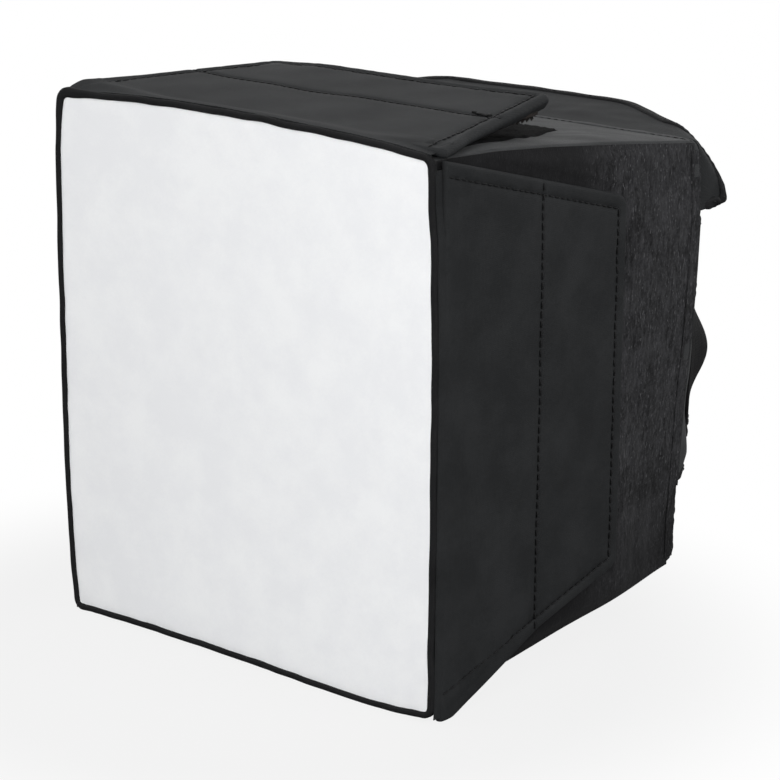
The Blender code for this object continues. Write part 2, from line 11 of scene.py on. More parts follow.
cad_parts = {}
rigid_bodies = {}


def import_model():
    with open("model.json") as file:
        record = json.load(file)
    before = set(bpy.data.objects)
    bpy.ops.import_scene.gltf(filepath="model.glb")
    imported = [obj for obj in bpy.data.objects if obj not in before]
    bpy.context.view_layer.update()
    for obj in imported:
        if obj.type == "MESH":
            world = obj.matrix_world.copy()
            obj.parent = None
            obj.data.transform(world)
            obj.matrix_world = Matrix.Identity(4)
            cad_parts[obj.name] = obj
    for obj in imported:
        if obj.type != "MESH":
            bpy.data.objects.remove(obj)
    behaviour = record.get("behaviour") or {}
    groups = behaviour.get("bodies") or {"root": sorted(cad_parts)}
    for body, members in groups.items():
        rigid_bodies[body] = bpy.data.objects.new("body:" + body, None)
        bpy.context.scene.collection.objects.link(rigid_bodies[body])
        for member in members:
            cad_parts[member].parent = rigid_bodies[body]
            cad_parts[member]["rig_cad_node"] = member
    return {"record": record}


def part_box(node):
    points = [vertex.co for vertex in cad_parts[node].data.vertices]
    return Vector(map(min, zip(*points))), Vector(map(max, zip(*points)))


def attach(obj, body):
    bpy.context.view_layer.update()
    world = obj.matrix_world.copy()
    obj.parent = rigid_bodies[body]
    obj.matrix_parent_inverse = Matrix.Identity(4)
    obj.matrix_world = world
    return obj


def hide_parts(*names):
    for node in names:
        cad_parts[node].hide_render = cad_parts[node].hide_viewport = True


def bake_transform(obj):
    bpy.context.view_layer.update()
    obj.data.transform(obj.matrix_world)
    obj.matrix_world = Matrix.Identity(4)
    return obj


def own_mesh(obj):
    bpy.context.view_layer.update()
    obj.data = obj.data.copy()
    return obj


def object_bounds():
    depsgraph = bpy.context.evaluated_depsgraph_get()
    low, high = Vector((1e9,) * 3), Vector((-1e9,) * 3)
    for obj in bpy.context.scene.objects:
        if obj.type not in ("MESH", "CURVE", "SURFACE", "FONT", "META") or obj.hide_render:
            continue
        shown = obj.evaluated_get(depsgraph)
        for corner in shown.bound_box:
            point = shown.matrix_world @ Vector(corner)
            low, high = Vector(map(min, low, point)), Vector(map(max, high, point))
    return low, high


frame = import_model()
cad_low, cad_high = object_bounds()
JOINTS = {joint["name"]: joint for joint in frame["record"]["behaviour"]["joints"]}
SIDES = ("top", "right", "bottom", "left")
TURNS = {side: turn for turn, side in enumerate(SIDES)}
MM = 0.001

# Places read from the frame
BINDING_LOW, BINDING_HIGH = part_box("front_binding")
HEM_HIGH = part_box("rear_hem")[1]
FRONT_Y = BINDING_LOW.y
MIDDLE = Vector((0, 0, (BINDING_LOW.z + BINDING_HIGH.z) / 2))
ORIGIN = np.array((0, FRONT_Y, MIDDLE.z))
FRONT_HALF_WIDTH = BINDING_HIGH.x
FRONT_HALF_HEIGHT = BINDING_HIGH.z - MIDDLE.z
REAR_HALF_WIDTH = HEM_HIGH.x
REAR_HALF_HEIGHT = HEM_HIGH.z - MIDDLE.z
BODY_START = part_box("panel_top")[0].y
BODY_END = HEM_HIGH.y

# Cloths, boards and tapes
CLEARANCE = 0.3 * MM
FLAP_THICKNESS = 2.6 * MM
WALL_SETBACK = FLAP_THICKNESS + CLEARANCE
WALL_CLOTH = 1.0 * MM
LINING_CLOTH = 0.4 * MM
DIFFUSER_CLOTH = 0.4 * MM
BINDING_FACE = 2.0 * MM
DIFFUSER_SETBACK = 0.6 * MM
DIFFUSER_BOW = 1.0 * MM
SEAM_RADIUS = 1.5 * MM
FLAP_CORNER = 3.5 * MM
SEAM_MARGIN = 4.5 * MM
LEVEL_FLAP_REAR_HALF = 56 * MM
UPRIGHT_FLAP_REAR_HALF = 59 * MM
HOOK_TAPE_SIZE = (18, 14, 1.2)  # in mm

# Stitches
STITCH_LENGTH = 2.3 * MM
STITCH_PITCH = 2.9 * MM
STITCH_RADIUS = 0.26 * MM
STITCH_RISE = 0.12 * MM


def linear(hex_colour):
    """A linear RGBA colour from an sRGB hex value such as "303234"."""
    values = [int(hex_colour[index:index + 2], 16) / 255 for index in (0, 2, 4)]
    return (*(v / 12.92 if v <= 0.04045 else ((v + 0.055) / 1.055) ** 2.4 for v in values), 1.0)


def add_node(tree, kind, settings=(), inputs=(), **named):
    """Add a shader node with its settings; an input, by number or name, takes a value or another's socket."""
    node = tree.nodes.new(kind)
    for name, value in dict(settings).items():
        setattr(node, name, value)
    by_name = {name.replace("_", " "): value for name, value in named.items()}
    for socket, value in (dict(inputs) | by_name).items():
        if isinstance(value, bpy.types.NodeSocket):
            tree.links.new(value, node.inputs[socket])
        else:
            node.inputs[socket].default_value = value
    return node


def new_material(name):
    """An empty node material."""
    material = bpy.data.materials.new(name)
    material.use_nodes = True
    material.node_tree.nodes.clear()
    return material, material.node_tree


MULTIPLY = {"operation": "MULTIPLY"}
MULTIPLY_ADD = {"operation": "MULTIPLY_ADD"}
SMOOTH = {"interpolation_type": "SMOOTHSTEP"}
RUBBED_STREAKS = 1.3
# The colour of the painted highlights on the loop pile's fibre ends
PAINTED_GLINT_COLOUR = "505052"


def cloth_material(name, dark, light, roughness, thread, weave_depth, fuzz, sheen=0.0, streak=0.35,
                   specular=0.15, metallic=0.0, pile_streaks_and_painted_light=False):
    """Woven or knitted cloth: two sets of threads at a real spacing, uneven dye and a little lint.

    thread is the spacing, weave_depth the bump of the threads, and fuzz that of the fibres, in mm.
    Rubbed pile has upright streaks in its tone and painted highlights of fibre ends that catch light.
    It also carries painted shade: lighter behind the flaps and high up, darker under them and low down.
    """
    material, tree = new_material(name)
    plan = add_node(tree, "ShaderNodeUVMap", {"uv_map": "UVMap"}).outputs["UV"]
    place = add_node(tree, "ShaderNodeTexCoord").outputs["Object"]
    waves = [add_node(tree, "ShaderNodeTexWave", {"bands_direction": way}, Vector=plan, Distortion=0.6,
                      Scale=0.31416 / (thread * MM), Detail=1.0, Detail_Scale=1.5) for way in "XY"]
    threads = add_node(tree, "ShaderNodeMath", MULTIPLY, enumerate(wave.outputs["Fac"] for wave in waves))
    fibres = add_node(tree, "ShaderNodeTexNoise", Vector=place, Scale=1 / (0.9 * MM), Detail=3.0,
                      Roughness=0.65).outputs["Fac"]
    blotches = add_node(tree, "ShaderNodeTexNoise", Vector=place, Scale=1 / (16 * MM), Detail=4.0,
                        Roughness=0.6)
    uneven = add_node(tree, "ShaderNodeMath", MULTIPLY_ADD,
                      {0: fibres, 1: streak, 2: blotches.outputs["Fac"]})
    crease = RUBBED_STREAKS if pile_streaks_and_painted_light else 0
    if pile_streaks_and_painted_light:
        upright = add_node(tree, "ShaderNodeMapping", Vector=place, Scale=(1.0, 1.0, 0.3)).outputs[0]
        streaks = add_node(tree, "ShaderNodeTexNoise", Vector=upright, Scale=1 / (1.3 * MM), Detail=3.0,
                           Roughness=0.7, Distortion=0.6)
        uneven = add_node(tree, "ShaderNodeMath", MULTIPLY_ADD,
                          {0: streaks.outputs["Fac"], 1: crease, 2: uneven.outputs[0]})
    share = add_node(tree, "ShaderNodeMapRange", Value=uneven.outputs[0],
                     From_Min=0.42 + 0.4 * (streak + crease), From_Max=0.62 + 0.6 * (streak + crease))
    # Painted shade: the pile is darker in front under the flaps and low down, lighter behind them and high up
    if pile_streaks_and_painted_light:
        axes = add_node(tree, "ShaderNodeSeparateXYZ", Vector=place)
        behind, high = (add_node(tree, "ShaderNodeMapRange", SMOOTH, Value=axes.outputs[axis],
                                 From_Min=low * MM, From_Max=top * MM, To_Min=least)
                        for axis, low, top, least in (("Y", 42, 66, 0.12), ("Z", 5, 60, 0.25)))
        unshaded_share = add_node(tree, "ShaderNodeMath", MULTIPLY, {0: behind.outputs[0], 1: high.outputs[0]})
        share = add_node(tree, "ShaderNodeMath", MULTIPLY, {0: share.outputs[0], 1: unshaded_share.outputs[0]})
    colour = add_node(tree, "ShaderNodeMix", {"data_type": "RGBA"}, Factor=share.outputs[0], A=linear(dark),
                      B=linear(light))
    # Painted highlights: pale specks of fibre ends catching light, fewer where the painted shade falls
    if pile_streaks_and_painted_light:
        ends = add_node(tree, "ShaderNodeTexNoise", Vector=upright, Scale=1 / (0.5 * MM), Detail=2.0,
                        Roughness=0.5)
        lit = add_node(tree, "ShaderNodeMapRange", SMOOTH, Value=ends.outputs["Fac"], From_Min=0.60,
                       From_Max=0.72)
        shown = add_node(tree, "ShaderNodeMath", MULTIPLY, {0: lit.outputs[0], 1: unshaded_share.outputs[0]})
        colour = add_node(tree, "ShaderNodeMix", {"data_type": "RGBA"}, Factor=shown.outputs[0],
                          A=colour.outputs["Result"], B=linear(PAINTED_GLINT_COLOUR))
    relief = add_node(tree, "ShaderNodeMath", MULTIPLY_ADD,
                      {0: threads.outputs[0], 1: weave_depth / fuzz, 2: fibres})
    bump = add_node(tree, "ShaderNodeBump", Height=relief.outputs[0], Strength=1.0, Distance=fuzz * MM)
    shader = add_node(tree, "ShaderNodeBsdfPrincipled", Base_Color=colour.outputs["Result"],
                      Normal=bump.outputs["Normal"], Roughness=roughness, Metallic=metallic,
                      Sheen_Weight=sheen, Sheen_Roughness=0.4, Specular_IOR_Level=specular)
    add_node(tree, "ShaderNodeOutputMaterial", Surface=shader.outputs["BSDF"])
    return material


# Coated oxford nylon, pulled flat over the boards: a grey black whose weave catches a soft broad light
flap_nylon = cloth_material("black_oxford_nylon", "222324", "292A2B", 0.62, 0.62, 0.05, 0.04,
                            specular=0.06)
# The same cloth left slack on the body, given a paler colour than on the flaps
body_nylon = cloth_material("slack_oxford_nylon", "303132", "3A3B3C", 0.66, 0.62, 0.05, 0.05,
                            sheen=0.04, specular=0.08)
# Grosgrain tape folded over the edge: darker and closer than the cloth
edge_tape = cloth_material("black_binding_tape", "131314", "1B1B1C", 0.7, 0.8, 0.06, 0.03,
                           specular=0.10)
# Brushed loop pile: upright streaks in its tone, painted highlights in specks, painted shade low down and in
# front
loop_pile = cloth_material("brushed_loop_pile", "19191A", "3B3B3D", 0.92, 0.9, 0.03, 0.18,
                           sheen=0.05, streak=0.6, specular=0.06, pile_streaks_and_painted_light=True)
# Silver coated lining: crinkled, it throws the flash forward
silver_lining = cloth_material("silver_coated_lining", "B4B6B8", "C6C8CA", 0.45, 0.5, 0.03,
                               0.05, metallic=0.3)
# White ripstop diffuser: an even matt white
diffuser_cloth = cloth_material("white_diffuser_cloth", "EEEFF1", "F3F4F5", 0.8, 0.5,
                                0.012, 0.012, sheen=0.1)
# Calendered plastic board
stiff_board = cloth_material("stiffener_board_plastic", "17181A", "1C1D1F", 0.55, 1.5, 0.0, 0.02)
# Hook tape: moulded nylon hooks on a woven ground, a warm black
hook_tape = cloth_material("moulded_hook_tape", "1C1917", "2D2723", 0.5, 1.1, 0.1, 0.05)
# Loop tape: a soft matt pile, near black; on the level walls it also stands for painted shade
loop_tape_and_shade = cloth_material("knitted_loop_tape", "0B0B0B", "121213", 0.95, 1.2, 0.1, 0.15,
                           specular=0.05)
# Ribbed elastic webbing: fine ribs across its length
elastic = cloth_material("ribbed_elastic", "0F0F10", "171718", 0.75, 1.0, 0.12, 0.03)
# Bonded sewing thread: a smooth hard black with a thin shine
sewing_thread = cloth_material("bonded_black_thread", "0D0D0E", "141415", 0.5, 0.5, 0.02, 0.01)


def ripple(points, length, seed):
    """Smooth uneven height of about -1 to 1 at each point, whose waves are about length mm long."""
    source = np.random.default_rng(seed)
    directions = source.normal(size=(12, 3))
    directions /= np.linalg.norm(directions, axis=1)[:, None]
    phases = source.uniform(0, 2 * pi, 12)
    pitches = source.uniform(0.6, 1.4, 12)
    waves = np.sin(points @ (directions * pitches[:, None]).T * (2 * pi / (length * MM)) + phases)
    return waves.sum(axis=-1) / (0.9 * 12 ** 0.5)


def smooth_step(value, start, end):
    share = np.clip((value - start) / (end - start), 0, 1)
    return share * share * (3 - 2 * share)


def ramp(value, start, end):
    """A smooth step of a length between two places in mm."""
    return smooth_step(value, start * MM, end * MM)


def bell(value, width, power=2):
    """A smooth hump of height 1 at value 0, about width mm wide on each side."""
    return np.exp(-(value / (width * MM)) ** power)


def running_length(line):
    """The distance along a line at each of its points."""
    return np.concatenate([[0], np.cumsum(np.linalg.norm(np.diff(line, axis=0), axis=1))])


def flat_points(across, depth):
    return np.stack([across, depth, np.zeros_like(across)], axis=-1)


def looped(points):
    return np.concatenate([points, points[:1]])


def unit(vectors):
    return vectors / np.maximum(np.linalg.norm(vectors, axis=-1, keepdims=True), 1e-12)


# How far the front's edges bow out between their corners, in mm: places along an edge, then the bow there
LEFT_BOW = ((-85, -74, -60, -35, 0, 40, 66, 78, 85), (1.0, 2.0, 3.2, 4.2, 4.6, 4.7, 4.6, 3.4, 2.0))
RIGHT_BOW = ((-85, -60, -10, 35, 50, 60, 70, 78, 85),
             (-0.6, -0.4, -0.2, -0.4, -0.9, -0.9, -1.9, -2.1, -2.4))
TOP_BOW = ((-75, -65, -52, -40, -27, -10, 8, 26, 43, 60, 70, 75),
           (-0.2, 0.2, 1.1, 1.7, 2.1, 2.2, 1.9, 1.3, 0.8, -0.1, -1.1, -1.4))
BOTTOM_BOW = ((-75, -60, -30, 0, 30, 50, 65, 75), (1.0, 0.4, 0.1, 0.5, 1.2, 1.4, 0.4, -0.6))
# How far the body's rear leans to the right at each height, its top seams ride up at each depth and its
# lower right rear corner sags, in mm
REAR_LEAN = ((-70, -55, -40, -16, 0, 14, 28, 47, 66), (-2.6, -2.6, -1.6, -0.4, 1.1, 2.0, 2.8, 3.4, 2.4))
TOP_SEAM_RISE = ((0, 8, 30, 55, 100, 130), (0.0, 0.8, 1.8, 1.8, 0.8, 0.0))
LOW_CORNER_SAG = 1.5


def bow_front(points):
    """The front's edges as the cloth pulls them: bowed out between the corners, the top right corner in."""
    x, _, z = np.moveaxis(points - ORIGIN, -1, 0) / MM
    across = np.where(x < 0, -np.interp(z, *LEFT_BOW) * smooth_step(-x, 20, 73),
                      np.interp(z, *RIGHT_BOW) * smooth_step(x, 20, 73))
    upwards = np.where(z < 0, -np.interp(x, *BOTTOM_BOW) * smooth_step(-z, 20, 83),
                       np.interp(x, *TOP_BOW) * smooth_step(z, 20, 83))
    return points + MM * np.stack([across, np.zeros_like(x), upwards], axis=-1)


def lean_body(points):
    """The body's rear leans to the right, its top seams ride up and its lower right rear corner sags."""
    x, depth, z = np.moveaxis(points - ORIGIN, -1, 0) / MM
    across = np.interp(z, *REAR_LEAN) * smooth_step(depth, 86, 128) * smooth_step(x, 15, 66)
    rise = np.interp(depth, *TOP_SEAM_RISE) * smooth_step(np.abs(x), 40, 68) * smooth_step(z, 30, 66)
    sag = LOW_CORNER_SAG * smooth_step(depth, 62, 116) * smooth_step(x, 56, 72) * smooth_step(-z, 30, 70)
    return points + MM * np.stack([across, np.zeros_like(x), rise - sag], axis=-1)


def side_axes(side):
    """The directions along a side, backwards and outwards."""
    turn = Matrix.Rotation(TURNS[side] * pi / 2, 3, "Y")
    return np.array([turn @ Vector((1, 0, 0)), (0, 1, 0), turn @ Vector((0, 0, 1))])


def on_side(side, across, depth, out):
    """World points from distances along a side, behind the front face and out from the middle axis."""
    return ORIGIN + np.stack([across, depth, out], axis=-1) @ side_axes(side)


def finish_piece(obj, material):
    obj.data.materials.clear()
    obj.data.materials.append(material)


def dress(obj, body, *nodes):
    """The piece rides a body and stands for solids' nodes, if it has any."""
    if nodes:
        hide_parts(*nodes)
    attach(obj, body)


def close_seams(obj):
    """Join the meeting edges of a folded cloth and turn its faces outwards."""
    bpy.ops.object.select_all(action="DESELECT")
    obj.select_set(True)
    bpy.context.view_layer.objects.active = obj
    bpy.ops.object.mode_set(mode="EDIT")
    bpy.ops.mesh.select_all(action="SELECT")
    bpy.ops.mesh.remove_doubles(threshold=1e-6)
    bpy.ops.mesh.normals_make_consistent(inside=False)
    bpy.ops.object.mode_set(mode="OBJECT")


def laid_grid(name, outer, material, inner=None, uv=None):
    """Cloth on a grid of points by row and column; inner is its other face, uv its places laid flat."""
    rows, columns = outer.shape[0] - 1, outer.shape[1] - 1
    bpy.ops.object.select_all(action="DESELECT")
    bpy.ops.mesh.primitive_grid_add(x_subdivisions=columns, y_subdivisions=rows, size=2)
    obj = bpy.context.active_object
    obj.name = obj.data.name = name
    count = len(obj.data.vertices)
    flat = np.empty(count * 3)
    obj.data.vertices.foreach_get("co", flat)
    column, row, _ = np.rint((flat.reshape(-1, 3) + 1) / 2 * (columns, rows, 1)).astype(int).T
    layers = [outer[row, column]]
    if inner is not None:
        solidify = obj.modifiers.new("Thickness", "SOLIDIFY")
        solidify.thickness = 0.01
        solidify.offset = -1
        bpy.ops.object.modifier_apply(modifier=solidify.name)
        layers.append(inner[row, column])
    obj.data.vertices.foreach_set("co", np.concatenate(layers).ravel())
    if uv is None:
        middle = running_length(outer[outer.shape[0] // 2]), running_length(outer[:, outer.shape[1] // 2])
        uv = np.stack(np.meshgrid(*middle), axis=-1)
    loops = np.empty(len(obj.data.loops), dtype=int)
    obj.data.loops.foreach_get("vertex_index", loops)
    obj.data.uv_layers[0].name = "UVMap"
    obj.data.uv_layers[0].data.foreach_set("uv", uv[row, column][loops % count].ravel())
    obj.data.update()
    close_seams(obj)
    bpy.ops.object.shade_smooth_by_angle(angle=radians(50))
    finish_piece(obj, material)
    return obj


def faces_out(grid, toward):
    """The unit normals of a grid of points, on the side that toward points to."""
    normal = unit(np.cross(np.gradient(grid, axis=1), np.gradient(grid, axis=0)))
    return normal * np.where((normal * toward).sum(axis=-1, keepdims=True) < 0, -1, 1)


def swept_tape(name, line, inwards, normals, profile, material, closed=False):
    """Tape of one cross-section along a line; profile gives distances inwards and along the normal."""
    profile = looped(profile)
    if closed:
        line, inwards, normals = looped(line), looped(inwards), looped(normals)
    grid = line[None] + inwards[None] * profile[:, None, :1] + normals[None] * profile[:, None, 1:2]
    uv = np.stack(np.meshgrid(running_length(line), running_length(profile)), axis=-1)
    obj = laid_grid(name, grid, material, uv=uv)
    if not closed:
        bpy.ops.object.mode_set(mode="EDIT")
        bpy.ops.mesh.select_all(action="DESELECT")
        bpy.ops.mesh.select_non_manifold()
        bpy.ops.mesh.fill_holes(sides=0)
        bpy.ops.object.mode_set(mode="OBJECT")
        close_seams(obj)
    return obj


def rounded_slab(half_wide, half_thick, corner, shift=(0, 0), steps=3):
    """Points of a rounded rectangle round a shifted centre, from measures in mm."""
    points = []
    for sign_x, sign_y, start in ((1, 1, 0), (-1, 1, 90), (-1, -1, 180), (1, -1, 270)):
        for step in range(steps + 1):
            angle = radians(start + 90 * step / steps)
            points.append((sign_x * (half_wide - corner) + corner * cos(angle) + shift[0],
                           sign_y * (half_thick - corner) + corner * sin(angle) + shift[1]))
    return np.array(points) * MM


def stitch_shape():
    """Vertices and faces of one small stitch, arched a little out of the cloth."""
    bpy.ops.object.select_all(action="DESELECT")
    bpy.ops.mesh.primitive_uv_sphere_add(segments=6, ring_count=6, radius=1)
    ball = bpy.context.active_object
    bpy.ops.object.mode_set(mode="EDIT")
    bpy.ops.mesh.select_all(action="SELECT")
    bpy.ops.transform.rotate(value=pi / 2, orient_axis="Y", center_override=(0, 0, 0))
    bpy.ops.object.mode_set(mode="OBJECT")
    points = np.array([vert.co for vert in ball.data.vertices])
    points[:, 0] = np.sign(points[:, 0]) * np.abs(points[:, 0]) ** 0.45 * STITCH_LENGTH / 2
    points[:, 1:] *= STITCH_RADIUS
    points[:, 2] += STITCH_RISE * (1 - (points[:, 0] / (STITCH_LENGTH / 2)) ** 2)
    faces = [tuple(face.vertices) for face in ball.data.polygons]
    bpy.data.objects.remove(ball)
    return points, faces


STITCH_POINTS, STITCH_FACES = stitch_shape()


def scattered(name, shape, faces, places, material):
    """One mesh of many copies of a small shape; places gives each copy's origin and its three axes."""
    points, all_faces = [], []
    for origin, axes in places:
        all_faces.extend(tuple(v + len(points) * len(shape) for v in face) for face in faces)
        points.append(origin + shape @ axes)
    mesh = bpy.data.meshes.new(name)
    mesh.from_pydata(np.concatenate(points).tolist(), [], all_faces)
    mesh.shade_smooth()
    obj = bpy.data.objects.new(name, mesh)
    bpy.context.collection.objects.link(obj)
    mesh.uv_layers.new(name="UVMap")
    finish_piece(obj, material)
    return obj


def stitch_rows(name, rows):
    """One piece of all the stitches along rows, each a line of points and its outward directions."""
    places = []
    for line, ups in rows:
        ups = np.broadcast_to(ups, line.shape)
        travel = running_length(line)
        count = max(int(travel[-1] / STITCH_PITCH), 1)
        for index in range(count):
            middle = (index + 0.5) * travel[-1] / count
            ends = [np.array([np.interp(middle + shift, travel, line[:, axis]) for axis in range(3)])
                    for shift in (-STITCH_LENGTH / 2, STITCH_LENGTH / 2)]
            along = unit(ends[1] - ends[0])
            up = np.array([np.interp(middle, travel, ups[:, axis]) for axis in range(3)])
            up = unit(up - along * (up @ along))
            places.append(((ends[0] + ends[1]) / 2, np.array([along, np.cross(up, along), up])))
    return scattered(name, STITCH_POINTS, STITCH_FACES, places, sewing_thread)


# The camera fitted to the photograph: its turns in degrees, its target's shift to the right and up, in m
CAMERA_TURNS = (40, 16, 0.38)
CAMERA_SHIFT = (0.0444, 0.0024)
CAMERA_DISTANCE = 0.851
CAMERA_LENS = 130.25


def place_camera():
    """The photograph's view: from the object's front right, a little above."""
    azimuth, elevation, roll = map(radians, CAMERA_TURNS)
    level = Vector((cos(azimuth), sin(azimuth), 0))
    upright = Vector((-sin(azimuth) * sin(elevation), cos(azimuth) * sin(elevation), cos(elevation)))
    right = level * cos(roll) + upright * sin(roll)
    up = upright * cos(roll) - level * sin(roll)
    back = Vector((sin(azimuth) * cos(elevation), -cos(azimuth) * cos(elevation), sin(elevation)))
    target = Vector((0, FRONT_Y, MIDDLE.z)) + right * CAMERA_SHIFT[0] + up * CAMERA_SHIFT[1]
    camera = bpy.data.objects.new("camera", bpy.data.cameras.new("camera"))
    bpy.context.collection.objects.link(camera)
    camera.data.lens = CAMERA_LENS
    camera.data.sensor_width = 36
    axes = Matrix((right, up, back)).transposed().to_4x4()
    camera.matrix_world = Matrix.Translation(target + back * CAMERA_DISTANCE) @ axes
    bpy.context.scene.camera = camera


place_camera()


# Front: diffuser and its binding tape
def rounded_frame(half_width, half_height, corner, spacing):
    """Points and inward directions round a rounded rectangle in the x-z plane, from the top left corner."""
    line, inwards = [], []
    corners = ((-1, 1, 180), (1, 1, 90), (1, -1, 0), (-1, -1, -90))
    for index, (right, up, start) in enumerate(corners):
        centre = np.array((right * (half_width - corner), 0, up * (half_height - corner)))
        for step in range(7):
            angle = radians(start - 90 * step / 6)
            inwards.append(np.array((-cos(angle), 0, -sin(angle))))
            line.append(centre - corner * inwards[-1])
        straight = 2 * ((half_width if index % 2 == 0 else half_height) - corner)
        count = int(straight / spacing)
        next_right, next_up, _ = corners[(index + 1) % 4]
        begin, run = line[-1], np.array((next_right - right, 0, next_up - up)) / 2 * straight
        line.extend(begin + run * step / count for step in range(1, count))
        inwards.extend([inwards[-1]] * (count - 1))
    return np.array(line), np.array(inwards)


def make_front_tape():
    """Binding tape folded round the front edge, thinner where it bows and fuller at the top left corner."""
    line, inwards = rounded_frame(FRONT_HALF_WIDTH, FRONT_HALF_HEIGHT, 3.5 * MM, 1.5 * MM)
    straight = line + ORIGIN
    line = bow_front(straight)
    thin = 1 - 0.34 * ramp(np.linalg.norm(line - straight, axis=1), 0.4, 2.5)
    corner = line - np.array((-FRONT_HALF_WIDTH, FRONT_Y, MIDDLE.z + FRONT_HALF_HEIGHT))
    bulk = 1.0 + 0.6 * bell(np.linalg.norm(corner, axis=1), 9)[:, None]
    edge = line + inwards * (0.12 * MM * ripple(line, 14, 3)[:, None] - (bulk - 1) * BINDING_FACE)
    tape = swept_tape("front_tape", edge, inwards * bulk, np.outer(thin, (0.0, 1.0, 0.0)),
                      rounded_slab(1.0, 1.8, 0.8, (1.0, 1.8)), edge_tape, closed=True)
    dress(tape, "shell", "front_binding")
    seam = looped(line) + np.array((0, 1.8 * MM, 0))
    dress(stitch_rows("front_tape_stitches", [(seam, looped(-inwards))]), "shell")


def make_diffuser():
    """White cloth tucked under the tape, a little hollow and puckered along its seam."""
    half_width = FRONT_HALF_WIDTH - BINDING_FACE + 0.6 * MM
    half_height = FRONT_HALF_HEIGHT - BINDING_FACE + 0.6 * MM
    share_x, share_z = np.meshgrid(np.linspace(-1, 1, 121), np.linspace(-1, 1, 137))
    corner = 0.8 * MM * (share_x * share_z) ** 8
    x = share_x * (half_width - corner)
    z = share_z * (half_height - corner)
    edge = np.minimum(half_width - np.abs(x), half_height - np.abs(z))
    flat = np.stack([x, np.zeros_like(x), z], axis=-1)
    sag = DIFFUSER_BOW * (1 - share_x ** 2) * (1 - share_z ** 2)
    pucker = 0.10 * MM * ripple(flat, 9, 5) * bell(edge, 4, 1)
    tuck = 0.35 * MM * bell(edge, 1.0, 1)
    depth = FRONT_Y + DIFFUSER_SETBACK + sag + pucker + tuck
    outer = bow_front(np.stack([x, depth, z + MIDDLE.z], axis=-1))
    obj = laid_grid("diffuser_sheet", outer, diffuser_cloth,
                    outer + np.array((0, DIFFUSER_CLOTH, 0)), flat[..., (0, 2)])
    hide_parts("diffuser")
    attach(obj, "shell")


make_front_tape()
make_diffuser()

# Boarded flaps: the covers' grid lines beside their rims, in mm
RIM = (0, 0.12, 0.35, 0.7, 1.1, 1.6, 2.3, 3.0, 3.6, 4.1, 4.5, 4.9, 5.5, 6.4)


def between(start, end, spacing):
    """Even places between two ends, about a spacing apart."""
    count = int((end - start) / spacing)
    return [start + (end - start) * step / count for step in range(1, count)]


def is_level(side):
    return side in ("top", "bottom")


def flap_facts(side):
    """The frame, lengths and half widths of one flap, read from its joints and its rear cover."""
    hinge, fold = (Vector(JOINTS[f"{side}_flap_{joint}"]["pos_m"]) for joint in ("hinge", "fold"))
    along = Vector(JOINTS[f"{side}_flap_hinge"]["axis"])
    back = (fold - hinge).normalized()
    lift = atan2(hypot(back.x, back.z), back.y)
    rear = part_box(f"flap_{side}_rear_cover")[1].y - hinge.y - FLAP_THICKNESS / 2 * sin(lift)
    return SimpleNamespace(
        side=side, seed=TURNS[side] * 10, hinge=np.array(hinge), fold=(fold - hinge).length,
        length=rear / cos(lift), axes=np.array([along, back, along.cross(back)]),
        front_half=(FRONT_HALF_WIDTH if is_level(side) else FRONT_HALF_HEIGHT) - FLAP_THICKNESS - CLEARANCE,
        rear_half=LEVEL_FLAP_REAR_HALF if is_level(side) else UPRIGHT_FLAP_REAR_HALF,
        low_end=1 if along.z < 0 else -1)


FLAPS = {side: flap_facts(side) for side in SIDES}


def flap_half(flap, depth):
    """Half width at a depth: a straight taper."""
    share = np.clip(depth / flap.length, 0, 1)
    return flap.front_half + (flap.rear_half - flap.front_half) * share


# Ears that close the frame's corners at the flaps' front ends, in mm: depths, then the width added there
TOP_EAR = ((0, 6, 12, 18, 24), (2.6, 2.2, 1.3, 0.4, 0.0))
LOW_EAR = ((0, 3, 7, 12, 20, 28, 36, 46), (4.6, 6.0, 5.9, 5.1, 4.1, 2.9, 1.6, 0.0))


def flap_edge(flap, across, depth):
    """Half width of the cover with its ears: at both ends of the top flap, at the lower end of a side one."""
    if flap.side == "bottom":
        return flap_half(flap, depth)
    top = flap.side == "top"
    ear, ends = (TOP_EAR, np.ones_like(across)) if top else (LOW_EAR, across * flap.low_end > 0)
    return flap_half(flap, depth) + MM * ends * np.interp(depth / MM, *ear)


def seam_distance(flap, across, depth):
    """Distance from the stitch row that runs round a flap inside its edge."""
    from_slope = flap_half(flap, depth) - np.abs(across)
    from_rear = flap.length - depth
    return np.minimum(np.abs(from_slope - SEAM_MARGIN) + 1e3 * (from_rear < SEAM_MARGIN - 1e-5),
                      np.abs(from_rear - SEAM_MARGIN) + 1e3 * (from_slope < SEAM_MARGIN - 1e-5))


def flap_relief(flap, across, depth):
    """How far the cover's face stands over its flat place: rolled rim, seam grooves and the boards' puff."""
    edge = np.minimum(flap_edge(flap, across, depth) - np.abs(across), flap.length - depth)
    seam = seam_distance(flap, across, depth)
    groove = -0.36 * MM * bell(seam, 0.75) - 0.45 * MM * bell(depth - flap.fold, 1.0)
    roll = (0.45 if flap.side == "top" else 0.08) * MM * bell(edge - 2.2 * MM, 1.3)
    inside = smooth_step(edge, SEAM_MARGIN, SEAM_MARGIN + 3 * MM)
    puff = 0.25 * MM * inside * ramp(np.abs(depth - flap.fold), 0, 3)
    flat = flat_points(across, depth)
    slack = 0.16 * MM * ripple(flat, 26, 11 + flap.seed) * inside
    pull = 0.14 * MM * ripple(flat, 5, 12 + flap.seed) * bell(seam, 2.2, 1)
    return groove + roll + puff + slack + pull


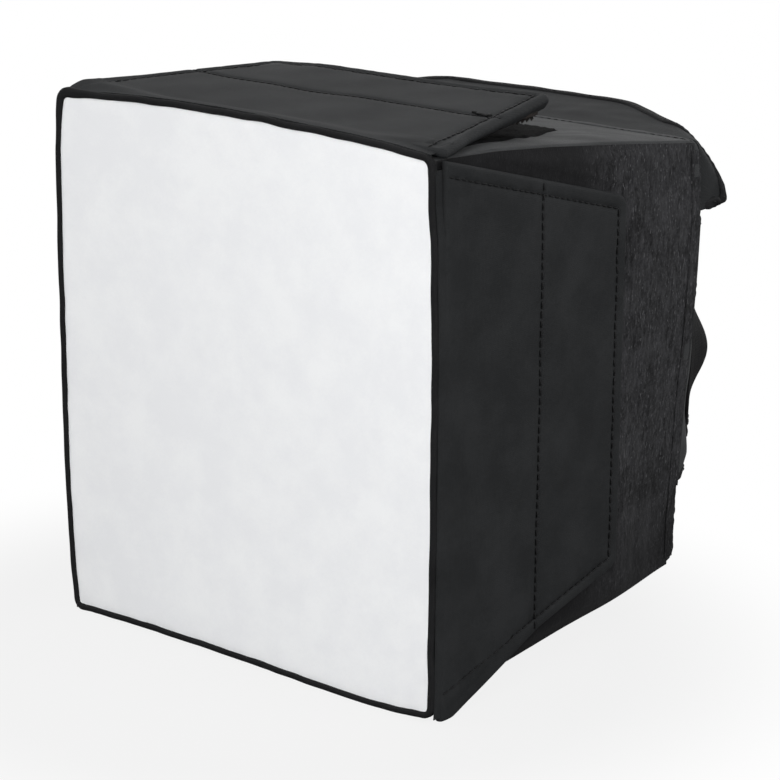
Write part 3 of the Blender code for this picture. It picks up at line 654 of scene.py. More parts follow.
def flap_rise(flap, across, depth):
    """The cover's small lifts off its plane: the top one's left end stands up at the front."""
    if flap.side != "top":
        return np.zeros_like(across)
    share = np.clip(depth / flap.length, 0, 1)
    left = smooth_step(-across, 30 * MM, flap_half(flap, depth) - 1 * MM)
    right = smooth_step(across, 20 * MM, flap_half(flap, depth) - 2 * MM)
    front_end = 2.2 * MM * ramp(depth, -3, 4) * (1 - share) ** 1.3
    return left * (front_end - 1.3 * MM * share ** 2) + 0.9 * MM * right * share ** 2


def flap_points(flap, across, depth, height):
    return flap.hinge + np.stack([across, depth, height], axis=-1) @ flap.axes


def rounded_corner(across, depth, half, length):
    """Pull the square rear corners of the plan in to an arc."""
    x = np.abs(across) - (half - FLAP_CORNER)
    y = depth - (length - FLAP_CORNER)
    inside = (x > 0) & (y > 0)
    big = np.maximum(x, y)
    angle = pi / 4 * np.minimum(x, y) / np.maximum(big, 1e-9)
    angle = np.where(x >= y, angle, pi / 2 - angle)
    return (np.where(inside, np.sign(across) * (half - FLAP_CORNER + big * np.cos(angle)), across),
            np.where(inside, length - FLAP_CORNER + big * np.sin(angle), depth))


def blend_flap(obj):
    """Bake a flap piece's placement into its mesh."""
    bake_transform(obj)


def make_flap_cover(flap):
    """A flap's padded cover over its two boards, and the stitches round it and along its fold."""
    rim = [value * MM for value in RIM]
    near_fold = [flap.fold + value * MM for value in (-2.4, -1.5, -0.9, -0.4, 0, 0.4, 0.9, 1.5, 2.4)]
    rear_lines = [flap.length - value for value in reversed(rim)]
    half_lines = rim + between(rim[-1], flap.rear_half, 2.2 * MM)
    insets = np.array(half_lines + [flap.rear_half] + half_lines[::-1])
    signs = np.sign(np.arange(len(insets)) - len(half_lines))
    depths = np.array(rim[:7] + between(rim[6], near_fold[0], 2.0 * MM) + near_fold
                      + between(near_fold[-1], rear_lines[0], 2.0 * MM) + rear_lines)

    inset, depth = np.meshgrid(insets, depths)
    half = flap_edge(flap, signs[None, :] + 0 * depth, depth)
    scale = (half - rim[-1]) / (flap.rear_half - rim[-1])
    inset = np.where(inset > rim[-1], rim[-1] + (inset - rim[-1]) * scale, inset)
    across = signs[None, :] * (half - inset)
    edge = np.minimum(np.minimum(half - np.abs(across), flap.length - depth), depth)
    radius = FLAP_THICKNESS / 2
    bulge = np.sqrt(np.clip(1 - (1 - np.clip(edge / radius, 0, 1)) ** 2, 0, 1))
    full = ramp(edge, 0, 1.5) * ramp(depth, 0, 4)
    height = radius * bulge + flap_relief(flap, across, depth) * full
    plan = np.stack([across, depth], axis=-1)
    base = flap_rise(flap, across, depth) - radius
    under = height
    if flap.side == "top":
        thick = bell(edge - 2.6 * MM, 2.6) * ramp(across, 20, 40)
        under = height + 1.0 * MM * thick * full * ramp(depth, 4, 60)
    across, depth = rounded_corner(across, depth, half, flap.length)
    obj = laid_grid(f"flap_{flap.side}_cover", flap_points(flap, across, depth, base + height), flap_nylon,
                    flap_points(flap, across, depth, base - under), plan)
    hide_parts(f"flap_{flap.side}_front_cover", f"flap_{flap.side}_rear_cover")
    blend_flap(obj)

    rear_row = flap.length - SEAM_MARGIN
    run = np.linspace(0.5 * MM, rear_row, 60)
    lines = [(sign * (flap_half(flap, run) - SEAM_MARGIN), run) for sign in (-1, 1)]
    for half, place in ((flap_half(flap, rear_row) - SEAM_MARGIN, rear_row),
                        (flap_half(flap, flap.fold) - 0.8 * MM, flap.fold)):
        lines.append((np.linspace(-half, half, 60), np.full(60, place)))
    rows = []
    for outwards, under in ((1, 0), (-1, FLAP_THICKNESS)):
        for line in lines:
            height = outwards * (flap_relief(flap, *line) + 0.24 * MM) - under + flap_rise(flap, *line)
            rows.append((flap_points(flap, *line, height), flap.axes[2] * outwards))
    blend_flap(stitch_rows(f"flap_{flap.side}_stitches", rows))


def make_hinge_cloth(flap):
    """The cloth that hinges a flap: sewn on the binding's outer face, it slopes on to the flap."""
    share_across, share = np.meshgrid(np.linspace(-1, 1, 110), np.linspace(0, 1, 15))
    depth = (-2.6 + 10.4 * share) * MM
    across = share_across * (flap_edge(flap, share_across, depth) - 1.4 * MM)
    on_tape = flap_points(flap, across, depth, np.full_like(across, 0.12 * MM))
    on_flap = ramp(depth, -0.8, 6.8)[..., None]
    place = bow_front(on_tape) * (1 - on_flap) + on_tape * on_flap
    relief = flap_relief(flap, across, np.maximum(depth, 0)) * ramp(depth, 0, 4)
    ends = smooth_step(1 - np.abs(share_across), 0, 0.03)
    lift = flap_rise(flap, across, depth) + relief + (0.04 + 0.18 * ends * (1 - share)) * MM
    outer = place + flap.axes[2] * lift[..., None]
    obj = laid_grid(f"hinge_cloth_{flap.side}", outer, flap_nylon, outer - flap.axes[2] * 0.3 * MM)
    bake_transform(obj)


def hook_field(name, centre, axes, length, width, height):
    """Hook tape: a woven ground with rows of small bent hooks; axes run along, across and towards them.

    Its measures are in mm.
    """
    ground = 0.35 * height
    outline = rounded_slab(length / 2, width / 2, 2.0, steps=4) / MM
    points = [np.array([(x, y, z) for z in (0.0, ground) for x, y in outline])]
    count = len(outline)
    faces = [tuple(range(count))[::-1], tuple(range(count, 2 * count))]
    faces += [(i, (i + 1) % count, count + (i + 1) % count, count + i) for i in range(count)]
    spine = ((0.0, 0.0, 0.16), (0.0, 0.6, 0.13), (0.22, 0.95, 0.10), (0.5, 0.85, 0.07))
    hook = np.array([(lean + dx * thick, dy * thick, rise * (height - ground)) for lean, rise, thick in spine
                     for dx, dy in ((-1, -1), (1, -1), (1, 1), (-1, 1))])
    hook_faces = [(4 * step + i, 4 * step + (i + 1) % 4, 4 * step + 4 + (i + 1) % 4, 4 * step + 4 + i)
                  for step in range(3) for i in range(4)] + [(3, 2, 1, 0), tuple(range(12, 16))]
    base, spacing = 2 * count, 1.15
    for row, y in enumerate(np.arange(-width / 2 + 1.1, width / 2 - 0.6, spacing)):
        for x in np.arange(-length / 2 + 1.2 + (row % 2) * spacing / 2, length / 2 - 0.9, spacing):
            if hypot(max(abs(x) - length / 2 + 2.6, 0), max(abs(y) - width / 2 + 2.6, 0)) < 1.9:
                points.append(hook + np.array((x, y, ground * 0.9)))
                faces += [tuple(v + base for v in face) for face in hook_faces]
                base += len(hook)
    obj = scattered(name, np.concatenate(points) * MM, faces, [(centre, np.array(axes))], hook_tape)
    close_seams(obj)
    obj.data.shade_flat()
    return obj


def make_hook_pads(flap):
    """The hook tapes near a flap's free edge; the top flap's reach out and stand a little proud."""
    along, back, out = flap.axes
    for letter in "ab":
        node = f"hook_pad_{flap.side}_{letter}"
        low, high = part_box(node)
        offset = np.array((low + high) / 2) - flap.hinge
        across, depth = offset @ along, offset @ back
        under = FLAP_THICKNESS + 0.05 * MM - flap_rise(flap, np.array([across]), np.array([depth]))[0]
        length, width, height = HOOK_TAPE_SIZE
        if flap.side == "top":
            length, height, across = length + 5, height + 1.4, across + np.sign(across) * 2.5 * MM
        centre = flap.hinge + along * across + back * depth - out * under
        pad = hook_field(f"hook_tape_{flap.side}_{letter}", centre, (along, -back, -out), length, width,
                         height)
        dress(pad, f"{flap.side}_flap_rear", node)


for flap_to_make in FLAPS.values():
    make_flap_cover(flap_to_make)
    make_hinge_cloth(flap_to_make)
    make_hook_pads(flap_to_make)


def make_thread_tail(flap):
    """The top flap's fold seam ends in a short bundled tail of thread near its right end."""
    turns = np.linspace(0, 1, 60)
    across = flap_half(flap, flap.fold) + (-12.5 + 7.5 * turns + 0.5 * np.sin(turns * 12.0)) * MM
    depth = flap.fold + (1.0 + 0.5 * np.sin(turns * 9.0) - 0.6 * turns) * MM
    height = (0.55 + 0.14 * np.cos(turns * 13.0) - 0.15 * turns ** 2) * MM
    line = flap_points(flap, across, depth, height)
    heading = unit(np.gradient(line, axis=0))
    inwards = unit(np.cross(heading, (0.3, 0.2, 0.9)))
    dress(swept_tape("thread_tail", line, inwards, np.cross(heading, inwards),
                     rounded_slab(0.42, 0.42, 0.4, steps=2), sewing_thread), "top_flap_rear")


make_thread_tail(FLAPS["top"])

# Body: walls, linings, corner seams and hem
WALL_DEPTH = BODY_START - FRONT_Y
HEM_DEPTH = BODY_END - FRONT_Y
WALL_LENGTH = HEM_DEPTH - 3.9 * MM - WALL_DEPTH


def squash_body(obj):
    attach(obj, "shell")
    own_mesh(obj)


def body_half(upwards, share):
    """Half height or half width of the body over its walls, at a share of its depth."""
    front = (FRONT_HALF_HEIGHT if upwards else FRONT_HALF_WIDTH) - WALL_SETBACK
    rear = REAR_HALF_HEIGHT if upwards else REAR_HALF_WIDTH
    return front + (rear - front) * share


def wall_half(side, share):
    return body_half(not is_level(side), share)


def corner_gap(side):
    """A level wall ends inside the rolled corner seam, and a pile wall is stitched over the roll."""
    return (1.2 if is_level(side) else 0.55) * MM


def pile_press(side, across, depth):
    """How a pile wall lies on its flap: close under the boards, hollow at the hook pads, proud beyond."""
    flap = FLAPS[side]
    behind = depth - (flap.hinge[1] - FRONT_Y)
    outside = np.maximum(np.abs(across) - flap_edge(flap, across, behind), behind - flap.length)
    under = np.minimum(behind * 0.0145, 0.8 * MM) - 0.25 * MM
    reach = flap.rear_half + 1.0 * MM - 15 * MM
    pads = bell(np.abs(across) - reach, 9.5, 4) * bell(behind - 64.5 * MM, 7.5, 4)
    hug = 0.8 * MM * ramp(outside, 0.3, 3.0) * (1 - ramp(outside, 10, 34))
    held = 1 - ramp(outside, 0, 26)
    return under * held - 1.3 * MM * pads + hug * ramp(behind, 4, 20)


def wall_surface(side, place, depth):
    """How far a wall's outer face stands out from the middle axis, at places along it and depths."""
    share = (depth - WALL_DEPTH) / WALL_LENGTH
    inside = np.clip(share, 0, 1)
    half = wall_half(side, share) - corner_gap(side)
    across = place / half
    flat = flat_points(place, depth)
    held = smooth_step(1 - np.abs(across), 0, 0.10) * np.sin(pi * inside) ** 0.5
    seed = FLAPS[side].seed
    if is_level(side):
        belly = (1.5 if side == "top" else -1.0) * MM * np.sin(pi * inside) * (1 - across ** 6)
        rumple = 0.45 * MM * ripple(flat, 38, 21 + seed) + 0.12 * MM * ripple(flat, 11, 22 + seed)
    else:
        belly = pile_press(side, place, depth) * smooth_step(1 - np.abs(across), 0, 0.06) * \
            smooth_step(1 - share, 0, 0.12)
        stretched = flat * np.array((0.3, 1.0, 1.0))
        behind_flap = ramp(depth, 86, 96)
        rumple = (0.15 + 0.2 * behind_flap) * MM * ripple(flat, 30, 23 + seed) + \
            (0.05 + 0.13 * behind_flap) * MM * ripple(stretched, 5, 24 + seed)
    return body_half(is_level(side), share) + belly + rumple * held


def make_wall(side):
    """One wall of the body and the lining inside it, from the front tape to under the hem."""
    spacing = 1.2 * MM if is_level(side) else 0.9 * MM
    columns = int(2 * wall_half(side, 0) / spacing)
    rows = int(WALL_LENGTH / spacing)
    depths = np.concatenate([[1.5 * MM], np.linspace(WALL_DEPTH, WALL_DEPTH + WALL_LENGTH, rows + 1),
                             [WALL_DEPTH + WALL_LENGTH + 1.2 * MM]])
    across, depth = np.meshgrid(np.linspace(-1, 1, columns + 1), depths)
    share = (depth - WALL_DEPTH) / WALL_LENGTH
    half = wall_half(side, share) - corner_gap(side)
    half[0] += corner_gap(side) + 0.4 * MM
    out = wall_surface(side, across * half, np.maximum(depth, WALL_DEPTH))
    out[0] += 0.6 * MM
    uv = np.stack([across * wall_half(side, 0), share * WALL_LENGTH], axis=-1)
    cloth = body_nylon if is_level(side) else loop_pile
    for name, node, drop, thickness, material in (
        (f"wall_{side}", f"panel_{side}", 0, WALL_CLOTH, cloth),
        (f"wall_lining_{side}", f"lining_{side}", WALL_CLOTH + 0.15 * MM, LINING_CLOTH, silver_lining),
    ):
        outer = lean_body(on_side(side, across * half, depth, out - drop))
        inner = lean_body(on_side(side, across * half, depth, out - drop - thickness))
        outer[0], inner[0] = bow_front(outer[0]), bow_front(inner[0])
        obj = laid_grid(name, outer, material, inner, uv)
        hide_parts(node)
        squash_body(obj)


# Outer edges of the wall patches, drawn along the painted shadow under the top flap's ends: depths, then half
# widths, in mm
SHADE_PATCH_EDGE = ((8, 24, 36, 64, 98), (67.0, 65.4, 64.0, 57.0, 43.0))


def make_wall_patches(side):
    """Loop patches on a level wall under its flap's slanting ends: for hook tapes, and painted shadow."""
    for letter, sign in (("a", 1), ("b", -1)):
        share, depth = np.meshgrid(np.linspace(0, 1, 30), np.linspace(8 * MM, 97 * MM, 90))
        edge = MM * np.interp(depth / MM, *SHADE_PATCH_EDGE)
        place = sign * (edge - 26 * MM * share)
        rim = np.minimum.reduce([share, 1 - share, (depth / MM - 8) / 24, (97 - depth / MM) / 24])
        flat = flat_points(place, depth)
        pile = 0.5 * MM * smooth_step(rim, 0, 0.03) + 0.1 * MM * ripple(flat, 2, 25)
        wall = wall_surface(side, place, depth)
        outer = lean_body(on_side(side, place, depth, wall + 0.1 * MM + pile))
        obj = laid_grid(f"loop_patch_{side}_{letter}", outer, loop_tape_and_shade,
                        lean_body(on_side(side, place, depth, wall + 0.02 * MM)))
        squash_body(obj)


def make_corner_seam(corner, right, up):
    """A piped corner: the two walls' cloths rolled together and stitched beside the roll."""
    share = np.linspace(0, 1, 90)
    depth = WALL_DEPTH + WALL_LENGTH * share
    x = right * (wall_half("top", share) - SEAM_RADIUS)
    z = up * (wall_half("right", share) - SEAM_RADIUS)
    line = np.stack([x, depth, z], axis=-1) + ORIGIN
    line = line + 0.10 * MM * np.outer(ripple(line, 22, 31 + right + 3 * up), (right, 0, up))
    line = lean_body(line)
    outwards = np.tile((right, 0.0, 0.0), (len(line), 1))
    upwards = np.tile((0.0, 0.0, up), (len(line), 1))
    obj = swept_tape(f"seam_roll_{corner}", line, outwards, upwards, rounded_slab(1.35, 1.65, 1.3, (-0.3, 0)),
                     body_nylon)
    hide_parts(f"corner_seam_{corner}")
    squash_body(obj)
    row = line[3:-3] + np.array((right * -1.6, 0, up * 1.15)) * MM
    squash_body(stitch_rows(f"seam_stitches_{corner}", [(row, (0.0, 0.0, float(up)))]))


def make_hem():
    """The rear hem: a turned and stitched band of the body's cloth."""
    line, inwards = rounded_frame(REAR_HALF_WIDTH, REAR_HALF_HEIGHT, 4 * MM, 1.5 * MM)
    line = lean_body(line + np.array((0, BODY_END - 3.7 * MM, MIDDLE.z)))
    back = np.tile((0.0, 1.0, 0.0), (len(line), 1))
    edge = line + inwards * 0.15 * MM * ripple(line, 12, 61)[:, None]
    dress(swept_tape("hem_band", edge, inwards, back, rounded_slab(1.1, 1.95, 0.9, (1.0, 1.9)), body_nylon,
                     closed=True), "rear_end", "rear_hem")
    ups = looped(-inwards)
    row = looped(line) - ups * 0.12 * MM + np.array((0, 0.9 * MM, 0))
    dress(stitch_rows("hem_stitches", [(row, ups)]), "rear_end")
    for side in ("right", "left"):
        half = REAR_HALF_HEIGHT - 3.0 * MM
        across, depth = np.meshgrid(np.linspace(-half, half, 150),
                                    HEM_DEPTH + np.linspace(-4.3, 0.1, 6) * MM)
        fray = 0.25 * MM * ripple(flat_points(across, depth), 2.5, 62)
        rim = ramp(half - np.abs(across), 0, 2)
        out = REAR_HALF_WIDTH + 0.25 * MM * rim + 0.12 * MM
        face = lean_body(on_side(side, across, depth + fray * (depth > HEM_DEPTH - 1 * MM), out))
        under = lean_body(on_side(side, across, depth, out - 0.8 * MM))
        dress(laid_grid(f"pile_edge_{side}", face, loop_pile, under), "rear_end")


for wall_side in SIDES:
    make_wall(wall_side)
for wall_side in ("top", "bottom"):
    make_wall_patches(wall_side)
for corner_name, corner_right, corner_up in (("top_right", 1, 1), ("bottom_right", 1, -1),
                                             ("bottom_left", -1, -1), ("top_left", -1, 1)):
    make_corner_seam(corner_name, corner_right, corner_up)
make_hem()

# Hoods and neck flaps; a tongue's four lengths are its half widths at root and tip, depth and corner
NECK_CLOTH = 1.4 * MM
HOOD_DEPTH = 33 * MM
HOOD_WING = 22 * MM
HOOD_WING_DEPTH = 19 * MM
HOOD_WING_CORNER = 6 * MM
HOOD_CROWN = 1.5 * MM
HOOD_ROOT_ROUND = 4 * MM
HOOD_SLACK = {"right": 21 * MM, "left": 9 * MM}
HOOD_SHOULDER = {"right": 30 * MM, "left": 55 * MM}
BOTTOM_HOOD = (60 * MM, 44 * MM, 33 * MM, 8 * MM)
BOTTOM_HOOD_DROOP = 4 * MM
TONGUE_ROOT = -1.0 * MM
NECK_FLAP = (44 * MM, 38 * MM, 46 * MM, 10 * MM)
NECK_LEAN = radians(37)
STRAP_WIDTH = 20 * MM
STRAP_CLOTH = 1.0 * MM
STRAP_FREE = 38 * MM
STRAP_TAB = 10 * MM
STRAP_ANCHOR = 8 * MM
STRAP_BULGE = 6.0 * MM
STRAP_DEPTH = 30 * MM
STRAP_DROP = 7 * MM
PATCH_THICKNESS = 0.5 * MM
PATCH_MARGIN = 1.0 * MM
RIB_PITCH = 1.45 * MM


def tongue_plan(root, tip, depth, corner):
    """Across and depth of a tapering flap's grid, its free corners rounded."""
    straight = depth - corner
    depths = [TONGUE_ROOT + (straight - TONGUE_ROOT) * step / 26 for step in range(26)]
    halves = [root + (tip - root) * max(value, 0) / depth for value in depths]
    for step in range(11):
        angle = step / 10 * pi / 2
        along = straight + corner * sin(angle)
        depths.append(along)
        halves.append(root + (tip - root) * along / depth - corner * (1 - cos(angle)))
    share, row = np.meshgrid(np.linspace(-1, 1, int(2 * root / (1.3 * MM))), np.arange(len(depths)))
    return share * np.array(halves)[row], np.array(depths)[row]


def make_bound_cloth(name, node, middle, toward, body, seed, material):
    """Cloth whose free edges are bound in folded tape; middle is its grid, from root row to free row."""
    normal = faces_out(middle, toward)
    half = (NECK_CLOTH - 0.2 * MM) / 2
    outer = middle + normal * half
    cloth = laid_grid(name, outer, material, middle - normal * half)
    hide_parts(node)

    def border(grid):
        return np.concatenate([grid[:-1, 0], grid[-1], grid[-2::-1, -1]])

    line, ups = border(middle), border(normal)
    gap = np.linalg.norm(np.diff(line, axis=0), axis=1)
    keep = np.concatenate([[True], gap > 0.1 * MM])
    line, ups = line[keep], ups[keep]
    heading = unit(np.gradient(line, axis=0))
    inwards = unit(np.cross(ups, heading))
    centre = middle.reshape(-1, 3).mean(axis=0)
    if ((centre - line) * inwards).sum() < 0:
        inwards = -inwards
    run = running_length(line)
    full = 0.25 + 0.75 * ramp(np.minimum(run, run[-1] - run), 0, 8)[:, None]
    edge = line + ups * 0.07 * MM * ripple(line, 12, seed)[:, None] + inwards * 1.6 * MM * (1 - full)
    tape = swept_tape(f"{name}_tape", edge, inwards * full, ups * full,
                      rounded_slab(1.85, 1.2, 0.85, (0.9, 0)), edge_tape)
    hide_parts(f"{node}_binding")
    row = (line + inwards * 1.7 * MM)[full[:, 0] > 0.999]
    up = ups[full[:, 0] > 0.999]
    rows = [(row + up * 1.08 * MM, up), (row - up * 1.08 * MM, -up)]
    stitches = stitch_rows(f"{name}_stitches", rows)
    for obj in (cloth, tape, stitches):
        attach(obj, body)


def hood_section(half_width, slack_left, slack_right):
    """Half section points of the wrapped hood, from its left wing's lower corner to its right one's."""
    wings = []
    for slack in (slack_left, slack_right):
        heights = np.concatenate([np.linspace(0, HOOD_WING_CORNER, 9)[:-1],
                                  np.linspace(HOOD_WING_CORNER, HOOD_WING, 12)])
        wing = [(half_width, (h - HOOD_WING) * (HOOD_WING - slack) / HOOD_WING - slack) for h in heights]
        for angle in np.linspace(0, pi / 2, 10)[1:]:
            wing.append((half_width - slack * (1 - cos(angle)), -slack * (1 - sin(angle))))
        wings.append(wing)
    left = [(-x, z) for x, z in wings[0]]
    steps = np.linspace(0, 1, 80)[1:-1, None]
    level = np.array(left[-1]) * (1 - steps) + np.array(wings[1][-1]) * steps
    return np.concatenate([left, level, wings[1][::-1]])


def make_top_hood():
    """Top hood: a bonnet of slack cloth that wraps down behind the hem's sides."""
    hinge = JOINTS["top_hood_hinge"]["pos_m"]
    half_width = REAR_HALF_WIDTH - NECK_CLOTH / 2
    root = hood_section(half_width, HOOD_ROOT_ROUND, HOOD_ROOT_ROUND)
    tip = hood_section(half_width, HOOD_SLACK["left"], HOOD_SLACK["right"])
    along = np.concatenate([[-0.06], np.linspace(0.01, 1, 34)])[:, None]
    plan = root[None] * (1 - along[..., None]) + tip[None] * along[..., None]
    x, z = plan[..., 0], plan[..., 1]
    shoulder = np.where(root[:, 0] > 0, HOOD_SHOULDER["right"], HOOD_SHOULDER["left"])
    beyond = smooth_step(np.abs(root[:, 0]), shoulder, half_width)
    reach = HOOD_DEPTH + (HOOD_WING_DEPTH - HOOD_DEPTH) * beyond
    short = np.maximum(HOOD_WING_CORNER - (HOOD_WING + root[:, 1]), 0)
    reach = reach - HOOD_WING_CORNER + np.sqrt(np.maximum(HOOD_WING_CORNER ** 2 - short ** 2, 0))
    run = running_length(tip)
    corner = run[np.argmin(np.linalg.norm(tip - (half_width - 6.2 * MM, -6.2 * MM), axis=1))]
    reach = reach - 5.6 * MM * bell(run - corner + 2 * MM, 13)
    crown = HOOD_CROWN * along * (1 - (x / half_width) ** 2)
    dip = 0.6 * MM * ramp(x, 12, 36) * (1 - ramp(x, 60, 71)) * along ** 2
    flat = np.stack([x, along * reach, z], axis=-1)
    slack = ramp(along * reach, 0, 14)
    rumple = (0.28 * ripple(flat, 40, 41) + 0.16 * ripple(flat, 13, 42) * (1 - along ** 2)) * MM * slack
    middle = np.stack([x, hinge[1] + along * reach, hinge[2] + z + crown - dip], axis=-1)
    centre = np.array((0, hinge[1] + 15 * MM, MIDDLE.z + 20 * MM))
    normal = faces_out(middle, middle - centre)
    middle = middle + normal * rumple[..., None]
    leaning = 1 - ramp(along * reach, 0, 17)
    middle = middle + (lean_body(middle) - middle) * leaning[..., None]
    make_bound_cloth("hood_top_cloth", "hood_top", middle, middle - centre, "top_hood", 43, flap_nylon)


def make_bottom_hood():
    """Bottom hood: a narrower tongue of bound cloth that droops behind the hem."""
    hinge = JOINTS["bottom_hood_hinge"]["pos_m"]
    across, depth = tongue_plan(*BOTTOM_HOOD)
    droop = BOTTOM_HOOD_DROOP * (across / BOTTOM_HOOD[1] * depth / HOOD_DEPTH) ** 2
    flat = flat_points(across, depth)
    rumple = 0.5 * MM * ripple(flat, 30, 44) * ramp(depth, 0, 12)
    middle = on_side("bottom", across, hinge[1] - FRONT_Y + depth, MIDDLE.z - hinge[2] - droop + rumple)
    make_bound_cloth("hood_bottom_cloth", "hood_bottom", middle, np.array((0, 0, -1.0)), "bottom_hood", 45,
                     flap_nylon)


def neck_swell(side, across, depth):
    """How far a neck flap stands over its plane: it bellies out behind the hem and under its strap."""
    low = across if side == "right" else -across
    belly = MM * np.interp(low / MM, (-44, -17, 0, 23, 36, 44), (0, 0.2, 0.8, 1.2, 2.6, 1.2))
    belly = belly * np.sin(pi * np.clip(depth / (20 * MM), 0, 1)) ** 2
    sewn_end = STRAP_DROP - STRAP_FREE / 2
    share = np.clip((low - sewn_end) / STRAP_FREE, 0, 1)
    under = 1.2 * MM * np.sin(pi * share) ** 2
    window = ramp(depth, 9, 20) * (1 - 0.7 * ramp(depth, 39, 46))
    return belly + under * window


def neck_frame(side):
    """A point on a neck flap's hinge, and the flap's directions along, backwards and outwards."""
    along, back, out = side_axes(side)
    origin = np.array(JOINTS[f"{side}_neck_hinge"]["pos_m"])
    lean, rise = sin(NECK_LEAN), cos(NECK_LEAN)
    return origin, np.array([along, back * rise - out * lean, back * lean + out * rise])


def on_neck(side, across, depth, height):
    origin, axes = neck_frame(side)
    return lean_body(origin + np.stack([across, depth, height], axis=-1) @ axes)


def make_neck(side):
    """A neck flap: slack bound cloth that leans in behind the hem, quiet under its strap."""
    across, depth = tongue_plan(*NECK_FLAP)
    flat = flat_points(across, depth)
    rumple = 0.3 * MM * ripple(flat, 24, 51 + TURNS[side]) * ramp(depth, 0, 12)
    quiet = 1 - bell(depth - STRAP_DEPTH, 13, 4)
    middle = on_neck(side, across, depth, neck_swell(side, across, depth) + rumple * quiet)
    make_bound_cloth(f"neck_{side}_cloth", f"neck_flap_{side}", middle, neck_frame(side)[1][2],
                     f"{side}_neck", 53, body_nylon)


make_top_hood()
make_bottom_hood()
for neck_side in ("right", "left"):
    make_neck(neck_side)


def strap_grid(first, last, rows, half=STRAP_WIDTH / 2, columns=29):
    """Across and along of a strap's grid between two places along it."""
    return np.meshgrid(np.linspace(-1, 1, columns) * half, np.linspace(first, last, rows))


def make_strap(side):
    """An elastic strap: sewn down at one end, bowed, with a hook tab that grips a loop patch at the other."""
    run = 1 if side == "right" else -1
    sewn_end = run * (STRAP_DROP - STRAP_FREE / 2)
    neck, strap = f"{side}_neck", f"{side}_strap"

    def on_strap(along, across, height):
        return on_neck(side, sewn_end + run * along, STRAP_DEPTH + across, NECK_CLOTH / 2 + height)

    def band_height(along, across=STRAP_WIDTH / 2):
        share = np.clip(along / STRAP_FREE, 0, 1)
        hook_end = 3 * CLEARANCE + 2 * PATCH_THICKNESS
        tilt = 0.1 + 0.9 * smooth_step(across, -STRAP_WIDTH / 2, STRAP_WIDTH / 4)
        swell = STRAP_BULGE * np.sin(pi * share) ** 2 * tilt
        return CLEARANCE + (hook_end - CLEARANCE) * (1 - np.cos(pi * share)) / 2 + swell

    def ribs_at(across):
        return 0.08 * MM * np.cos(across * (2 * pi / RIB_PITCH))

    across, along = strap_grid(0, STRAP_FREE + STRAP_TAB, 97)
    edge = ramp(STRAP_WIDTH / 2 - np.abs(across), 0, 0.6)
    curl = 0.35 * MM * (across / (STRAP_WIDTH / 2)) ** 4
    height = band_height(along, across) - curl * ramp(along, 2, 12) * ramp(STRAP_FREE - along, 0, 9)
    outer = on_strap(along, across, height + STRAP_CLOTH * (0.75 + 0.25 * edge) + ribs_at(across) * edge)
    inner = on_strap(along, across, height + 0.12 * MM * (1 - edge))
    band = laid_grid(f"strap_{side}_band", outer, elastic, inner)
    dress(band, strap, f"strap_{side}")

    across, along = strap_grid(-CLEARANCE - STRAP_ANCHOR, -CLEARANCE, 17)
    outer = on_strap(along, across, CLEARANCE + STRAP_CLOTH + ribs_at(across))
    inner = on_strap(along, across, np.full_like(along, CLEARANCE))
    dress(laid_grid(f"strap_{side}_sewn_end", outer, elastic, inner), neck, f"strap_{side}_anchor")

    half = STRAP_WIDTH / 2 - 1.7 * MM
    for name, body, first, last, height in (
        ("anchor", neck, -CLEARANCE - STRAP_ANCHOR + 1.2 * MM, -CLEARANCE - 1.0 * MM,
         lambda places: np.full_like(places, CLEARANCE + STRAP_CLOTH + 0.1 * MM)),
        ("tab", strap, STRAP_FREE + 1.6 * MM, STRAP_FREE + STRAP_TAB - 1.4 * MM,
         lambda places: band_height(places) + STRAP_CLOTH + 0.1 * MM),
    ):
        corners = ((first, -half), (last, -half), (last, half), (first, half), (first, -half), (last, half))
        lines = [np.linspace(*ends, 12) for ends in zip(corners, corners[1:])]
        lines.append(np.linspace((last, -half), (first, half), 12))
        rows = [(on_strap(*line.T, height(line[:, 0])), neck_frame(side)[1][2]) for line in lines]
        dress(stitch_rows(f"strap_{side}_{name}_stitches", rows), body)

    across, along = strap_grid(STRAP_FREE + PATCH_MARGIN, STRAP_FREE + STRAP_TAB - PATCH_MARGIN, 28,
                               STRAP_WIDTH / 2 - PATCH_MARGIN, 60)
    rough = 0.09 * MM * ripple(flat_points(along, across), 1.5, 71)
    for name, bottom, rough_top, rough_low, material, body in (
        ("loop_patch", CLEARANCE, rough, 0, loop_tape_and_shade, neck),
        ("hook_patch", 2 * CLEARANCE + PATCH_THICKNESS, 0, rough, hook_tape, strap),
    ):
        top, low = (np.full_like(along, bottom + rise) + pile
                    for rise, pile in ((PATCH_THICKNESS, rough_top), (0, rough_low)))
        dress(laid_grid(f"strap_{side}_{name}_cloth", on_strap(along, across, top), material,
                        on_strap(along, across, low)), body, f"strap_{side}_{name}")


for strap_side in ("right", "left"):
    make_strap(strap_side)


def dress_boards():
    """The boards inside the covers stay as they are, in plastic with a fine calendered grain."""
    for obj in bpy.data.objects:
        if "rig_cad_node" in obj and obj.name.endswith("_board"):
            obj.data.materials.clear()
            obj.data.materials.append(stiff_board)


dress_boards()


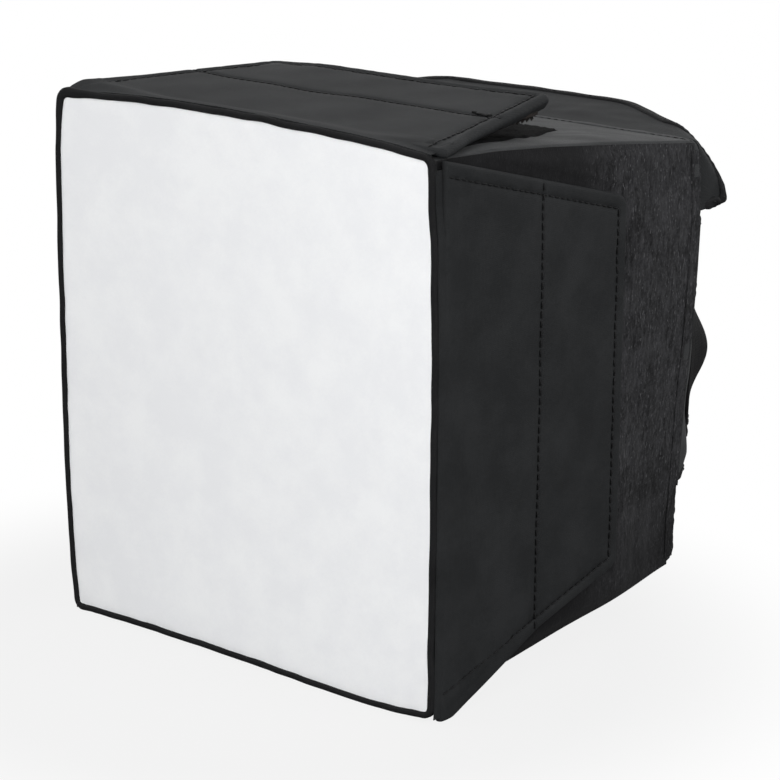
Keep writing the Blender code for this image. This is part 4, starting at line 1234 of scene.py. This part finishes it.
def make_studio():
    """Pale floor that keeps the object's shadow, white beyond it, and soft daylight lamps."""
    floor_material, tree = new_material("studio_floor_paper")
    place = add_node(tree, "ShaderNodeNewGeometry")
    away = add_node(tree, "ShaderNodeVectorMath", {"operation": "LENGTH"}, {0: place.outputs["Position"]})
    far = add_node(tree, "ShaderNodeMapRange", {"interpolation_type": "SMOOTHSTEP"},
                   {"Value": away.outputs["Value"]}, From_Min=0.10, From_Max=0.19, To_Min=0.85)
    path = add_node(tree, "ShaderNodeLightPath")
    seen = add_node(tree, "ShaderNodeMath", {"operation": "MULTIPLY"},
                    {0: far.outputs[0], 1: path.outputs["Is Camera Ray"]})
    paper = add_node(tree, "ShaderNodeBsdfDiffuse", Color=linear("888888"))
    white = add_node(tree, "ShaderNodeEmission", Color=(1, 1, 1, 1), Strength=1.0)
    surface = add_node(tree, "ShaderNodeMixShader", {}, {0: seen.outputs[0], 1: paper.outputs[0],
                                                         2: white.outputs[0]})
    add_node(tree, "ShaderNodeOutputMaterial", {}, {"Surface": surface.outputs[0]})
    bpy.ops.object.select_all(action="DESELECT")
    bpy.ops.mesh.primitive_circle_add(vertices=96, radius=3.0, fill_type="NGON",
                                      location=(0, 0, cad_low.z - 1.0 * MM))
    floor = bpy.context.active_object
    floor.name = "studio_floor"
    floor.data.materials.append(floor_material)

    world = bpy.data.worlds.new("studio")
    bpy.context.scene.world = world
    world.use_nodes = True
    tree = world.node_tree
    tree.nodes.clear()
    path = add_node(tree, "ShaderNodeLightPath")
    direct = add_node(tree, "ShaderNodeMath", {"operation": "MAXIMUM"},
                      {0: path.outputs["Is Camera Ray"], 1: path.outputs["Is Transmission Ray"]})
    seen = add_node(tree, "ShaderNodeMath", {"operation": "MAXIMUM"},
                    {0: direct.outputs[0], 1: path.outputs["Is Glossy Ray"]})
    strength = add_node(tree, "ShaderNodeMapRange", {}, {"Value": seen.outputs[0]}, To_Min=0.42, To_Max=1.0)
    light = add_node(tree, "ShaderNodeBackground", {}, {"Strength": strength.outputs[0]}, Color=(1, 1, 1, 1))
    add_node(tree, "ShaderNodeOutputWorld", {}, {"Surface": light.outputs[0]})

    for name, location, size, power in (
        ("key_lamp", (-1.1, -1.0, 1.35), 0.6, 5),
        ("top_lamp", (-0.3, 0.3, 1.8), 1.2, 4.4),
        ("front_lamp", (0.15, -1.3, 0.15), 0.6, 5.0),
        ("right_lamp", (0.25, -0.55, 0.55), 0.4, 1.2),
        ("near_lamp", (0.30, -0.35, 0.25), 0.25, 0.45),
        ("side_lamp", (1.4, 0.4, 0.6), 0.8, 10),
    ):
        lamp = bpy.data.lights.new(name, "AREA")
        lamp.shape = "DISK"
        lamp.size = size
        lamp.energy = power
        obj = bpy.data.objects.new(name, lamp)
        bpy.context.collection.objects.link(obj)
        obj.location = location
        aim = Vector((0, 0.03, MIDDLE.z)) - Vector(location)
        obj.rotation_euler = aim.to_track_quat("-Z", "Y").to_euler()
    bpy.context.scene.view_settings.view_transform = "Standard"


make_studio()
